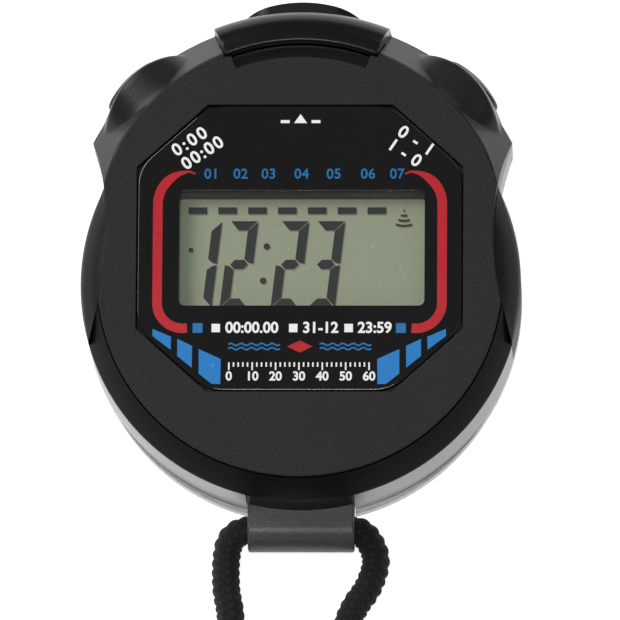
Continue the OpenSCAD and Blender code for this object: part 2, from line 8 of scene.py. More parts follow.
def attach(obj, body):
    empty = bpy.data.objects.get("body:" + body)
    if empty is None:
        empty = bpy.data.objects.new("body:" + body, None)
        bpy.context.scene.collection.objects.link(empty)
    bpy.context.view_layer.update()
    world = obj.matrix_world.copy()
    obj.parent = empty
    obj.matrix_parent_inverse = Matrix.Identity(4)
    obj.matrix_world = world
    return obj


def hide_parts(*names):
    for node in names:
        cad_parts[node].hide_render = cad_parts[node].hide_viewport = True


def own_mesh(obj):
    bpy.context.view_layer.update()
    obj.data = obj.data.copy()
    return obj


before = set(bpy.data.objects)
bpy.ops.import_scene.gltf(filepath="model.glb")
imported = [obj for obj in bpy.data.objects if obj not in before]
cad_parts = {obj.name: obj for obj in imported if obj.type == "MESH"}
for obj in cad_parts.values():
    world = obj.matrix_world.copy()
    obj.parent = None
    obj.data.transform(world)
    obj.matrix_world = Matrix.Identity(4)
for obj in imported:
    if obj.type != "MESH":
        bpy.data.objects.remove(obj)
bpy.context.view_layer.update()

MM = 0.001

# ---- Driving sizes of the case, in millimetres ----

BODY_R = 32.2
SHOULDER_R = 34.8
SHOULDER_Y = 5.9
WAIST_R = 46.7
WAIST_X = 28.2 + WAIST_R
WAIST_Y = 6.6
DISC_R = 29.5
TOP_R = 29.8
FACE_Z = 19.6
RING_Z = 13.6
PARTING_Z = 9.0
GRIP_Z = 3.5
HOOD_HALF = math.radians(22)
HOOD_R = 29.3
HOOD_SEAT_Z = 14.0
HOOD_TOP_Z = FACE_Z + 0.6
SIDE_ANGLE = math.radians(45)
CAP_R = 4.9
CAP_END = 36.7
CAP_ROOF = 1.6
MODE_W = 17.5
MODE_H = 8.4
MODE_END = 36.8
CAP_GAP = 0.2
COLLAR_END = 36.2
DOME_R = 13.0
MOUND_IN_R = 9.3
MOUND_OUT_R = 8.2
MOUND_WALL_H = 11.0
MOUND_EDGE_R = 2.2
MOUND_BLEND = 0.8
VALLEY_FALL = 1.5
COVER_STEP = 1.0
FLOOR_DROP = 0.3
RECESS_R = 27.1
RECESS_HALF = math.radians(20.5)
POCKET_R = 32.2
LENS_Y = 4.35
LENS_HALF_W = 23.7
LENS_HALF_H = 21.25
LENS_CUT = (10.3, 9.3)
WINDOW_HALF_W = 17.9
WINDOW_X = 0.3
WINDOW_HALF_H = 8.65
WINDOW_Y = 4.4
LENS_TOP_Z = FACE_Z - 0.2
DISPLAY_Z = 16.82
CORD_D = 4.2
LUG_Y = -34.6
LUG_Z = 3.6
LUG_W = 15.6
COIL_AT = (0.0, -88.0)


# ---- Making and finishing meshes ----


def add_object(name, mesh, body="case"):
    """A new piece at the origin that rides on a body."""
    piece = bpy.data.objects.new(name, mesh)
    bpy.context.collection.objects.link(piece)
    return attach(piece, body)


def second_material(piece, material, choose):
    """Gives the faces that choose accepts, by their middle in millimetres, another material."""
    piece.data.materials.append(material)
    last = len(piece.data.materials) - 1
    for face in piece.data.polygons:
        if choose(face.center / MM):
            face.material_index = last


def finish_mesh(bm, name, sharp=40.0):
    """The bmesh as a smooth shaded mesh whose edges over the sharp angle stay crisp."""
    mesh = bpy.data.meshes.new(name)
    bm.to_mesh(mesh)
    bm.free()
    for face in mesh.polygons:
        face.use_smooth = True
    mesh.set_sharp_from_angle(angle=math.radians(sharp))
    return mesh


def bevel_edges(bm, width, segments, angle=30.0, choose=None):
    """Rounds the edges that turn by more than the angle."""
    sharp = [
        e for e in bm.edges
        if len(e.link_faces) == 2
        and e.calc_face_angle(0) > math.radians(angle)
        and (choose is None or choose(e))
    ]
    bmesh.ops.bevel(bm, geom=sharp, offset=width * MM, offset_type="OFFSET", segments=segments,
                    profile=0.5, affect="EDGES", clamp_overlap=True, material=-1)


def merged_copy(node):
    """A bmesh of a frame node with its loose triangles joined into whole faces."""
    bm = bmesh.new()
    bm.from_mesh(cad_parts[node].data)
    bmesh.ops.remove_doubles(bm, verts=bm.verts, dist=0.002 * MM)
    bmesh.ops.dissolve_limit(bm, angle_limit=math.radians(0.6), verts=bm.verts, edges=bm.edges)
    return bm


def true_flats(piece):
    """Keeps large flat faces shaded flat beside their rounded edges."""
    modifier = piece.modifiers.new("true flats", "WEIGHTED_NORMAL")
    modifier.keep_sharp = True
    return piece


def rounded_node(node, material, width, segments=2, angle=30.0, body="case", name=None):
    """A frame node again, with its edges rounded."""
    bm = merged_copy(node)
    bevel_edges(bm, width, segments, angle)
    piece = add_object(name or node + "_finished", finish_mesh(bm, node + "_finished"), body)
    return dress(true_flats(piece), material, node)


def dress(piece, material, *nodes):
    """Gives a piece its material and hides the frame nodes it stands for."""
    piece.data.materials.clear()
    piece.data.materials.append(material)
    if nodes:
        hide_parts(*nodes)
    return piece


def formed_grid(place, across, along, join=True):
    """A grid bent into shape: place gives the point, in millimetres, for u and v from 0 to 1."""
    bm = bmesh.new()
    bmesh.ops.create_grid(bm, x_segments=across, y_segments=along, size=0.5)
    for vert in bm.verts:
        vert.co = Vector(place(vert.co.x + 0.5, vert.co.y + 0.5)) * MM
    if join:
        bmesh.ops.remove_doubles(bm, verts=bm.verts, dist=0.001 * MM)
    return bm


def close_and_face_out(bm):
    """Fills the open ends and turns every face outwards."""
    bmesh.ops.holes_fill(bm, edges=[e for e in bm.edges if e.is_boundary], sides=0)
    bmesh.ops.recalc_face_normals(bm, faces=bm.faces)


def flat_plate(outline, bottom, top):
    """A bmesh plate from an outline of points in millimetres between two heights."""
    bm = bmesh.new()
    verts = [bm.verts.new(Vector((x, y, bottom)) * MM) for x, y in outline]
    face = bm.faces.new(verts)
    raised = bmesh.ops.extrude_face_region(bm, geom=[face])
    moved = [g for g in raised["geom"] if isinstance(g, bmesh.types.BMVert)]
    bmesh.ops.translate(bm, verts=moved, vec=Vector((0, 0, top - bottom)) * MM)
    bmesh.ops.recalc_face_normals(bm, faces=bm.faces)
    return bm


def cut(piece, cutter):
    """Cuts one mesh object out of another and drops the cutter."""
    modifier = piece.modifiers.new("cut", "BOOLEAN")
    modifier.operation = "DIFFERENCE"
    modifier.solver = "EXACT"
    modifier.object = cutter
    bpy.context.view_layer.update()
    ready = piece.evaluated_get(bpy.context.evaluated_depsgraph_get())
    mesh = bpy.data.meshes.new_from_object(ready)
    piece.modifiers.remove(modifier)
    piece.data = mesh
    bpy.data.objects.remove(cutter)
    return piece


# ---- Node groups shared by the materials ----


def new_group(name, inputs, outputs):
    """A shader node group with its input values and output names, and its two end nodes."""
    group = bpy.data.node_groups.new(name, "ShaderNodeTree")
    for label, value in inputs:
        socket = group.interface.new_socket(label, in_out="INPUT", socket_type="NodeSocketFloat")
        socket.default_value = value
    for label in outputs:
        group.interface.new_socket(label, in_out="OUTPUT", socket_type="NodeSocketFloat")
    return group, group.nodes.new("NodeGroupInput"), group.nodes.new("NodeGroupOutput")


def math_node(tree, operation, first, second):
    """The result of a Math node on two numbers or sockets."""
    node = tree.nodes.new("ShaderNodeMath")
    node.operation = operation
    for socket, value in zip(node.inputs, (first, second)):
        if isinstance(value, (int, float)):
            socket.default_value = value
        else:
            tree.links.new(value, socket)
    return node.outputs[0]


def noise_node(tree, where, scale, detail, roughness=0.5):
    """The result of a Noise texture at a point socket."""
    node = tree.nodes.new("ShaderNodeTexNoise")
    node.inputs["Detail"].default_value = detail
    node.inputs["Roughness"].default_value = roughness
    tree.links.new(where, node.inputs["Vector"])
    if isinstance(scale, (int, float)):
        node.inputs["Scale"].default_value = scale
    else:
        tree.links.new(scale, node.inputs["Scale"])
    return node.outputs["Fac"]


def stretch(tree, value, low, high, to_low=0.0, to_high=1.0):
    """A value eased from one range into another."""
    node = tree.nodes.new("ShaderNodeMapRange")
    node.interpolation_type = "SMOOTHSTEP"
    tree.links.new(value, node.inputs["Value"])
    for label, number in (("From Min", low), ("From Max", high), ("To Min", to_low), ("To Max", to_high)):
        node.inputs[label].default_value = number
    return node.outputs["Result"]


def moulded_grain_group():
    """Spark eroded grain: a height for the bump and a speckle for the colour."""
    group, given, out = new_group(
        "Moulded grain", [("Grain size per m", 2600.0), ("Depth", 1.0)], ["Height", "Speckle"])
    where = group.nodes.new("ShaderNodeTexCoord").outputs["Object"]
    coarse = noise_node(group, where, given.outputs["Grain size per m"], 2.0, 0.6)
    cells = group.nodes.new("ShaderNodeTexVoronoi")
    cells.feature = "SMOOTH_F1"
    cells.inputs["Smoothness"].default_value = 0.6
    group.links.new(where, cells.inputs["Vector"])
    group.links.new(given.outputs["Grain size per m"], cells.inputs["Scale"])
    pits = stretch(group, cells.outputs["Distance"], 0.1, 0.75)
    both = math_node(group, "MULTIPLY", math_node(group, "ADD", coarse, pits), 0.5)
    height = math_node(group, "MULTIPLY", both, given.outputs["Depth"])
    group.links.new(height, out.inputs["Height"])
    group.links.new(stretch(group, coarse, 0.38, 0.66), out.inputs["Speckle"])
    return group


def handling_group():
    """Faint smears and dust from handling, as a mask over the surface."""
    group, given, out = new_group("Handling", [("Amount", 0.5)], ["Smear", "Dust"])
    where = group.nodes.new("ShaderNodeTexCoord").outputs["Object"]
    broad = stretch(group, noise_node(group, where, 55.0, 3.0), 0.35, 0.72)
    fine = stretch(group, noise_node(group, where, 900.0, 2.0), 0.70, 0.78)
    group.links.new(math_node(group, "MULTIPLY", broad, given.outputs["Amount"]), out.inputs["Smear"])
    group.links.new(math_node(group, "MULTIPLY", fine, given.outputs["Amount"]), out.inputs["Dust"])
    return group


GRAIN = moulded_grain_group()
HANDLING = handling_group()


# ---- Materials ----


def blend_colour(tree, factor, first, second):
    """Two colours mixed by a factor socket."""
    node = tree.nodes.new("ShaderNodeMix")
    node.data_type = "RGBA"
    tree.links.new(factor, node.inputs["Factor"])
    for label, colour in (("A", first), ("B", second)):
        socket = [s for s in node.inputs if s.name == label and s.type == "RGBA"][0]
        if isinstance(colour, tuple):
            socket.default_value = (*colour, 1.0)
        else:
            tree.links.new(colour, socket)
    return [s for s in node.outputs if s.type == "RGBA"][0]


def new_material(name, slot):
    """A new material, its node tree and its shader, with the slot kept on it."""
    material = bpy.data.materials.new(name)
    material.use_nodes = True
    material["slot"] = slot
    tree = material.node_tree
    return material, tree, tree.nodes["Principled BSDF"]


def grey(level):
    """A neutral colour, a trace cooler than even."""
    return (level, level, level * 1.02)


def shaded(colour, factor):
    """A colour made darker or lighter."""
    return tuple(min(1.0, c * factor) for c in colour)


def plastic(name, slot, colour, roughness, grain_scale=2600.0, grain_depth=0.0, contrast=0.25,
            smear=0.4, metallic=0.0, coat=0.0, specular=0.5):
    """Moulded plastic, rubber or paint: speckled colour, grain and faint handling marks."""
    material, tree, shader = new_material(name, slot)
    grain = tree.nodes.new("ShaderNodeGroup")
    grain.node_tree = GRAIN
    grain.inputs["Grain size per m"].default_value = grain_scale
    marks = tree.nodes.new("ShaderNodeGroup")
    marks.node_tree = HANDLING
    marks.inputs["Amount"].default_value = smear
    speckled = blend_colour(tree, grain.outputs["Speckle"], shaded(colour, 1 - contrast),
                            shaded(colour, 1 + contrast))
    dusty = blend_colour(tree, marks.outputs["Dust"], speckled, shaded(colour, 2.2))
    tree.links.new(dusty, shader.inputs["Base Color"])
    rough = math_node(tree, "MULTIPLY_ADD", marks.outputs["Smear"], 0.12)
    tree.nodes[-1].inputs[2].default_value = roughness - 0.04
    tree.links.new(rough, shader.inputs["Roughness"])
    shader.inputs["Metallic"].default_value = metallic
    shader.inputs["Specular IOR Level"].default_value = specular
    shader.inputs["Coat Weight"].default_value = coat
    shader.inputs["Coat Roughness"].default_value = 0.12
    if grain_depth:
        bump = tree.nodes.new("ShaderNodeBump")
        bump.inputs["Distance"].default_value = grain_depth * MM
        bump.inputs["Strength"].default_value = 1.0
        tree.links.new(grain.outputs["Height"], bump.inputs["Height"])
        tree.links.new(bump.outputs["Normal"], shader.inputs["Normal"])
    return material


def metal(name, slot, colour, roughness, brushed=0.0):
    """Plated or brushed metal with fine lines."""
    material, tree, shader = new_material(name, slot)
    where = tree.nodes.new("ShaderNodeTexCoord").outputs["Object"]
    turned = tree.nodes.new("ShaderNodeMapping")
    turned.inputs["Scale"].default_value = (1.0, 12.0, 1.0)
    tree.links.new(where, turned.inputs["Vector"])
    lines = noise_node(tree, turned.outputs["Vector"], 1500.0, 3.0)
    tree.links.new(blend_colour(tree, lines, shaded(colour, 0.85), colour), shader.inputs["Base Color"])
    tree.links.new(stretch(tree, lines, 0.3, 0.7, roughness - 0.06, roughness + 0.1),
                   shader.inputs["Roughness"])
    shader.inputs["Metallic"].default_value = 1.0
    if brushed:
        bump = tree.nodes.new("ShaderNodeBump")
        bump.inputs["Distance"].default_value = brushed * MM
        tree.links.new(lines, bump.inputs["Height"])
        tree.links.new(bump.outputs["Normal"], shader.inputs["Normal"])
    return material


def clear_pane(name, slot):
    """The clear window of the lens, seen mostly by its reflections."""
    material, tree, shader = new_material(name, slot)
    marks = tree.nodes.new("ShaderNodeGroup")
    marks.node_tree = HANDLING
    marks.inputs["Amount"].default_value = 0.5
    shader.inputs["Base Color"].default_value = (0.02, 0.02, 0.02, 1.0)
    tree.links.new(stretch(tree, marks.outputs["Smear"], 0.0, 0.5, 0.04, 0.10),
                   shader.inputs["Roughness"])
    shader.inputs["Alpha"].default_value = 0.06
    shader.inputs["IOR"].default_value = 1.49
    material.surface_render_method = "BLENDED"
    return material


def cord_cloth(name, slot):
    """Braided yarn: fine fibres on the cord's own UV map, with painted shade that darkens the colour
    where the knit relief falls between the yarns.
    """
    material, tree, shader = new_material(name, slot)
    uv = tree.nodes.new("ShaderNodeUVMap")
    uv.uv_map = "along"
    relief_attribute = tree.nodes.new("ShaderNodeAttribute")
    relief_attribute.attribute_name = "knit_relief"
    fibres = tree.nodes.new("ShaderNodeTexNoise")
    fibres.inputs["Scale"].default_value = 9.0
    fibres.inputs["Detail"].default_value = 4.0
    fibres.inputs["Roughness"].default_value = 0.7
    tree.links.new(uv.outputs["UV"], fibres.inputs["Vector"])
    # Painted shade: the colour follows the knit relief, darkest in the gaps between the yarns and
    # lightest on their crowns.
    lift = math_node(tree, "MULTIPLY", relief_attribute.outputs["Fac"], fibres.outputs["Fac"])
    colour = blend_colour(tree, stretch(tree, lift, 0.05, 0.75), (0.006, 0.006, 0.007),
                          (0.034, 0.034, 0.036))
    tree.links.new(colour, shader.inputs["Base Color"])
    shader.inputs["Roughness"].default_value = 0.85
    shader.inputs["Sheen Weight"].default_value = 0.12
    shader.inputs["Sheen Roughness"].default_value = 0.5
    shader.inputs["Specular IOR Level"].default_value = 0.25
    bump = tree.nodes.new("ShaderNodeBump")
    bump.inputs["Distance"].default_value = 0.12 * MM
    tree.links.new(fibres.outputs["Fac"], bump.inputs["Height"])
    tree.links.new(bump.outputs["Normal"], shader.inputs["Normal"])
    return material


def board_mask(name, slot):
    """Green solder mask with paler copper tracks under it."""
    material, tree, shader = new_material(name, slot)
    where = tree.nodes.new("ShaderNodeTexCoord").outputs["Object"]
    tracks = tree.nodes.new("ShaderNodeTexBrick")
    tracks.inputs["Scale"].default_value = 260.0
    tracks.inputs["Mortar Size"].default_value = 0.09
    tracks.inputs["Color1"].default_value = (0.012, 0.10, 0.035, 1.0)
    tracks.inputs["Color2"].default_value = (0.014, 0.12, 0.042, 1.0)
    tracks.inputs["Mortar"].default_value = (0.04, 0.26, 0.09, 1.0)
    tree.links.new(where, tracks.inputs["Vector"])
    tree.links.new(tracks.outputs["Color"], shader.inputs["Base Color"])
    tree.links.new(stretch(tree, noise_node(tree, where, 400.0, 2.0), 0.3, 0.7, 0.25, 0.45),
                   shader.inputs["Roughness"])
    return material


def make_materials():
    """Every finish on the watch, by a short name."""
    return {
        "cover": plastic("Cover black grained", "cover_black", grey(0.0125), 0.55, 4800.0, 0.035, 0.65,
                         specular=0.25),
        "shell": plastic("Shoulder black satin", "shell_black", grey(0.017), 0.36, 3200.0, 0.012, 0.15,
                         specular=0.2),
        "ring": plastic("Ring black smooth", "ring_black", grey(0.0065), 0.38, 3500.0, 0.004, 0.08,
                        specular=0.03),
        "hood": plastic("Hood black smooth", "hood_black", grey(0.007), 0.27, 3200.0, 0.006, 0.1,
                        specular=0.22),
        "grip": plastic("Grip black grained", "grip_black", grey(0.014), 0.48, 3600.0, 0.025, 0.25,
                        specular=0.12),
        # One silver paint in two copies: the back cover's is lighter than the mid case's, a painted
        # highlight along the back cover's rim.
        "silver": plastic("Case silver paint", "case_silver", (0.15, 0.15, 0.145), 0.36, 5200.0,
                          0.012, 0.16, 0.5, 0.4, 0.15),
        "silver_back": plastic("Case silver back with painted highlight", "case_silver", (0.36, 0.36, 0.35), 0.36, 5200.0,
                               0.012, 0.12, 0.5, 0.3, 0.15),
        "button": plastic("Button black", "button_black", grey(0.0065), 0.40, 3000.0, 0.01, 0.12,
                          specular=0.25),
        # Painted light: the black lug is coloured a much lighter grey than the other black parts, so that
        # it looks lit although the case's body shades it.
        "lug": plastic("Lug black with painted light", "lug_black", grey(0.06), 0.42, 4200.0, 0.02, 0.35,
                       specular=0.5),
        "lens": plastic("Lens black print", "lens_print", grey(0.0065), 0.14, 900.0, 0.0, 0.05, 0.35,
                        0.0, 0.5),
        "pane": clear_pane("Lens clear window", "lens_print"),
        "display": plastic("Display grey green", "display_glass", (0.37, 0.42, 0.295), 0.32, 1500.0,
                           0.0, 0.02, 0.3, 0.0, 0.4),
        "segment": plastic("Display segments dark", "display_glass", (0.022, 0.027, 0.024), 0.4,
                           1500.0, 0.0, 0.06, 0.2),
        # Painted shadow: a darker copy of the display face's colour, drawn beside each segment as the
        # shadow it casts.
        "painted_segment_shadow": plastic("Display segment painted shadow", "display_back", (0.205, 0.22, 0.16), 0.5, 1500.0,
                         0.0, 0.03, 0.2),
        "reflector": plastic("Display reflector", "display_back", (0.38, 0.41, 0.30), 0.5, 2000.0,
                             0.0, 0.05),
        # Partly the display's dark border and partly painted shade: a dark grey, though it keeps the
        # white frame's slot.
        "border_and_shade": plastic("Display border with painted shade", "frame_white", grey(0.035), 0.45, 1500.0, 0.01, 0.1),
        "white_part": plastic("Moulded white", "frame_white", (0.72, 0.72, 0.68), 0.45, 2200.0, 0.01,
                              0.05),
        "elastomer": plastic("Elastomer dark", "elastomer", grey(0.03), 0.65, 2000.0, 0.01, 0.15),
        "board": board_mask("Board green", "board_green"),
        "epoxy": plastic("Potting black", "epoxy_black", grey(0.01), 0.22, 900.0, 0.02, 0.1),
        "ceramic": plastic("Capacitor tan", "ceramic_tan", (0.42, 0.28, 0.14), 0.5, 2600.0, 0.01, 0.1),
        "steel": metal("Steel plated", "steel", (0.62, 0.62, 0.63), 0.28, 0.004),
        "brass": metal("Brass gilt", "brass", (0.74, 0.53, 0.24), 0.25, 0.004),
        "cord": cord_cloth("Cord black braid", "cord_black"),
        "clip": plastic("Cord clip black", "clip_black", grey(0.02), 0.28, 2600.0, 0.004, 0.1),
        "red": plastic("Print red", "lens_print", (0.51, 0.013, 0.023), 0.30, 1800.0, 0.0, 0.05),
        "light_blue": plastic("Print light blue", "lens_print", (0.014, 0.215, 0.58), 0.30, 1800.0, 0.0,
                              0.04),
        "blue": plastic("Print blue", "lens_print", (0.012, 0.17, 0.43), 0.30, 1800.0, 0.0, 0.05),
        "white": plastic("Print white", "lens_print", (0.94, 0.94, 0.93), 0.35, 1800.0, 0.0, 0.02),
    }


# ---- Outlines in plan, in millimetres ----


def waist_distance(centre_y, angle):
    """How far the waist arc is from (0, centre_y) along a ray at an angle from +X."""
    dx, dy = math.cos(angle), math.sin(angle)
    px, py = -WAIST_X, centre_y - WAIST_Y
    b = px * abs(dx) + py * dy
    c = px * px + py * py - WAIST_R * WAIST_R
    under = b * b - c
    return math.inf if under < 0 else -b - math.sqrt(under)


def polar(radius, angle, z, centre_y=0.0):
    """A point from its distance and its angle from +X about a centre on the Y axis."""
    return (radius * math.cos(angle), centre_y + radius * math.sin(angle), z)


def bearing(radius, angle, z):
    """A point about the shoulders' centre from its distance and its angle from +Y."""
    return (radius * math.sin(angle), SHOULDER_Y + radius * math.cos(angle), z)


def smoothstep(low, high, value):
    """An eased share from 0 at low to 1 at high."""
    t = min(1.0, max(0.0, (value - low) / (high - low)))
    return t * t * (3 - 2 * t)


def along_line(points, t):
    """The point a share t of the way along a line of points, by their number."""
    at = t * (len(points) - 1)
    i = min(int(at), len(points) - 2)
    f = at - i
    return tuple(a + (b - a) * f for a, b in zip(points[i], points[i + 1]))


def smooth_line(points, steps):
    """More points along a smooth curve through the given ones."""
    made = []
    for i in range(len(points) - 1):
        a, b = points[max(i - 1, 0)], points[i]
        c, d = points[i + 1], points[min(i + 2, len(points) - 1)]
        for k in range(steps):
            t = k / steps
            made.append(tuple(
                (2 * q + (r - p) * t + (2 * p - 5 * q + 4 * r - s) * t * t
                 + (3 * q - p - 3 * r + s) * t ** 3) / 2
                for p, q, r, s in zip(a, b, c, d)))
    made.append(tuple(points[-1]))
    return made


# ---- Case pieces ----


def soft_max(a, b, blend):
    """The larger of two heights, with a rounded valley where they meet."""
    return (a + b + math.sqrt((a - b) ** 2 + blend ** 2)) / 2


def soft_min(a, b, blend):
    """The smaller of two heights, with a rounded edge where they meet."""
    return -soft_max(-a, -b, blend)


def mound_height(radius, turn):
    """Height of the mound over a side button, at a radius and an angle from the button's axis."""
    along, off = radius * math.cos(turn), radius * math.sin(turn)
    share = (along - TOP_R) / (COLLAR_END - TOP_R)
    cone = MOUND_IN_R + (MOUND_OUT_R - MOUND_IN_R) * share
    if abs(off) >= cone:
        return PARTING_Z - VALLEY_FALL * (abs(off) - cone)
    arch = math.sqrt(cone ** 2 - off ** 2)
    inside = DOME_R - math.hypot(along - (COLLAR_END - DOME_R), off)
    rise = min(1.0, max(0.0, inside / MOUND_EDGE_R))
    end_wall = MOUND_WALL_H * (1 - (1 - rise) ** 2.2)
    return PARTING_Z + max(0.0, soft_min(arch, end_wall, MOUND_BLEND))


def shoulder_edge(angle):
    """Outer radius of the shoulders at an angle from +Y."""
    turn = abs(angle) - SIDE_ANGLE
    back = COLLAR_END - DOME_R
    across = DOME_R ** 2 - (back * math.sin(turn)) ** 2
    dome = back * math.cos(turn) + math.sqrt(across) if across > 0 else 0.0
    edge = soft_max(SHOULDER_R, dome, 0.25) - (0.0625 / (abs(SHOULDER_R - dome) + 0.3)) * 0.2
    return min(edge, waist_distance(SHOULDER_Y, math.pi / 2 - abs(angle)))


def shoulder_height(radius, angle):
    """Height of the shoulders' skin: the plain sloping facet with the mounds blended into it."""
    facet_drop = FACE_Z - COVER_STEP - PARTING_Z - 1.5
    facet = FACE_Z - 1.05 - (radius - TOP_R) * facet_drop / (SHOULDER_R - TOP_R)
    top = FACE_Z - 1.2 - 0.1 * (radius - TOP_R)
    mound = soft_min(mound_height(radius, abs(angle) - SIDE_ANGLE), top, 0.9)
    height = min(soft_max(facet, mound, 0.5), FACE_Z - 1.02)
    return max(height, HOOD_SEAT_Z - 0.02) if abs(angle) < HOOD_HALF else height


def make_shoulders(material):
    """The black upper shell, with a mound over each side button and a bed for the hood."""
    end_x, end_y = 28.86, 8.45
    end = math.atan2(end_x, end_y)
    bore_r, seat = 31.0, HOOD_SEAT_Z - 0.2
    far = 45
    inner_r, skin, wall = TOP_R + 0.12, 0.72, 0.80

    def place(u, v):
        if v > 0.999:
            return place(u, 0.0)
        angle = end * (2 * u - 1)
        edge = shoulder_edge(angle)
        if v <= skin:
            share = math.sin(v / skin * math.pi / 2)
            radius = inner_r + (edge - inner_r) * share
            drop = 0.35 * max(0.0, 1 - v / skin * 14) ** 2
            return bearing(radius, angle, max(PARTING_Z + 0.1, shoulder_height(radius, angle) - drop))
        if v <= wall:
            top = max(PARTING_Z + 0.1, shoulder_height(edge, angle))
            return bearing(edge, angle, top + (PARTING_Z - top) * (v - skin) / (wall - skin))
        bore = min(edge - 0.3, bore_r)
        inside = [(edge, PARTING_Z), (bore, PARTING_Z), (bore, seat), (inner_r, seat)]
        radius, height = along_line(inside, (v - wall) / (1 - wall))
        return bearing(radius, angle, height)

    bm = formed_grid(place, 440, 75)
    close_and_face_out(bm)
    piece = add_object("shoulder_shell", finish_mesh(bm, "shoulder_shell", 50))
    for side in (-1, 1):
        cut(piece, cylinder_cutter(side * SIDE_ANGLE, CAP_R + CAP_GAP, POCKET_R, far))
    cut(piece, oblong_cutter(MODE_W + 2 * CAP_GAP, MODE_H + 2 * CAP_GAP, POCKET_R, far))
    cut(piece, hood_bed_cutter())
    crisp(piece, 42)
    return dress(piece, material, "upper_shell")


def crisp(piece, angle):
    """Smooth shading again after a cut, with the cut's edges kept crisp."""
    for face in piece.data.polygons:
        face.use_smooth = True
    piece.data.set_sharp_from_angle(angle=math.radians(angle))


def button_matrix(angle):
    """Turns +Z out along a button's axis and moves to the shoulders' centre."""
    return (Matrix.Translation(Vector((0, SHOULDER_Y, PARTING_Z)) * MM)
            @ Matrix.Rotation(-angle, 4, "Z") @ Matrix.Rotation(-math.pi / 2, 4, "X"))


def loose_object(bm, name):
    """A bmesh as a plain object, such as a cutter."""
    mesh = bpy.data.meshes.new(name)
    bm.to_mesh(mesh)
    bm.free()
    piece = bpy.data.objects.new(name, mesh)
    bpy.context.collection.objects.link(piece)
    return piece


def cylinder_cutter(angle, radius, start, stop):
    """A rod along a button's axis that cuts a round pocket."""
    bm = bmesh.new()
    bmesh.ops.create_cone(bm, cap_ends=True, segments=96, radius1=radius * MM, radius2=radius * MM,
                          depth=(stop - start) * MM)
    bmesh.ops.translate(bm, verts=bm.verts, vec=(0, 0, (start + stop) / 2 * MM))
    bmesh.ops.transform(bm, matrix=button_matrix(angle), verts=bm.verts)
    return loose_object(bm, "pocket_cutter")


def oblong_outline(width, height, steps=24):
    """A rectangle with round ends, as points."""
    half, r = (width - height) / 2, height / 2
    return [
        (side * half + r * math.cos(a), r * math.sin(a))
        for side, first in ((1, -90), (-1, 90))
        for a in (math.radians(first + 180 * k / steps) for k in range(steps + 1))
    ]


def oblong_cutter(width, height, start, stop):
    """A bar along the mode button's axis that cuts its round ended pocket."""
    bm = flat_plate(oblong_outline(width, height), start, stop)
    bmesh.ops.transform(bm, matrix=button_matrix(0.0), verts=bm.verts)
    return loose_object(bm, "oblong_cutter")


def hood_bed_cutter():
    """The wedge that the hood fills, a little wider for the dark gaps at its ends."""
    half = HOOD_HALF + math.radians(0.25)
    low, high = HOOD_R - 0.15, 40.0
    steps = 24
    angles = [half * (2 * k / steps - 1) for k in range(steps + 1)]
    outline = [bearing(low, a, 0)[:2] for a in angles]
    outline += [bearing(high, a, 0)[:2] for a in reversed(angles)]
    return loose_object(flat_plate(outline, HOOD_SEAT_Z, 30.0), "hood_cutter")


def make_hood(material):
    """The smooth rolled hood over the mode button."""
    rise = HOOD_TOP_Z - HOOD_SEAT_Z
    nose = HOOD_R + 0.9
    profile = [(HOOD_R, HOOD_SEAT_Z), (HOOD_R, HOOD_TOP_Z - 0.4), (HOOD_R + 0.04, HOOD_TOP_Z - 0.18),
               (HOOD_R + 0.15, HOOD_TOP_Z - 0.05), (HOOD_R + 0.35, HOOD_TOP_Z)]
    profile += [
        (nose + (SHOULDER_R - nose) * math.sin(a), HOOD_SEAT_Z + rise * math.cos(a) ** 0.9)
        for a in (math.radians(90 * k / 16) for k in range(1, 16))
    ]
    profile += [(SHOULDER_R, HOOD_SEAT_Z + 0.3), (SHOULDER_R - 0.1, HOOD_SEAT_Z),
                (HOOD_R, HOOD_SEAT_Z)]

    def place(u, v):
        radius, height = along_line(profile, v)
        return bearing(radius, HOOD_HALF * (2 * u - 1), height)

    bm = formed_grid(place, 64, 48)
    close_and_face_out(bm)
    end = math.sin(HOOD_HALF)
    bevel_edges(bm, 0.22, 3, 45, lambda e: all(
        abs(abs(v.co.x) / math.hypot(v.co.x, v.co.y - SHOULDER_Y * MM) - end) < 0.002
        for v in e.verts))
    piece = add_object("mode_hood_rolled", finish_mesh(bm, "mode_hood_rolled", 50))
    return dress(piece, material, "mode_hood")


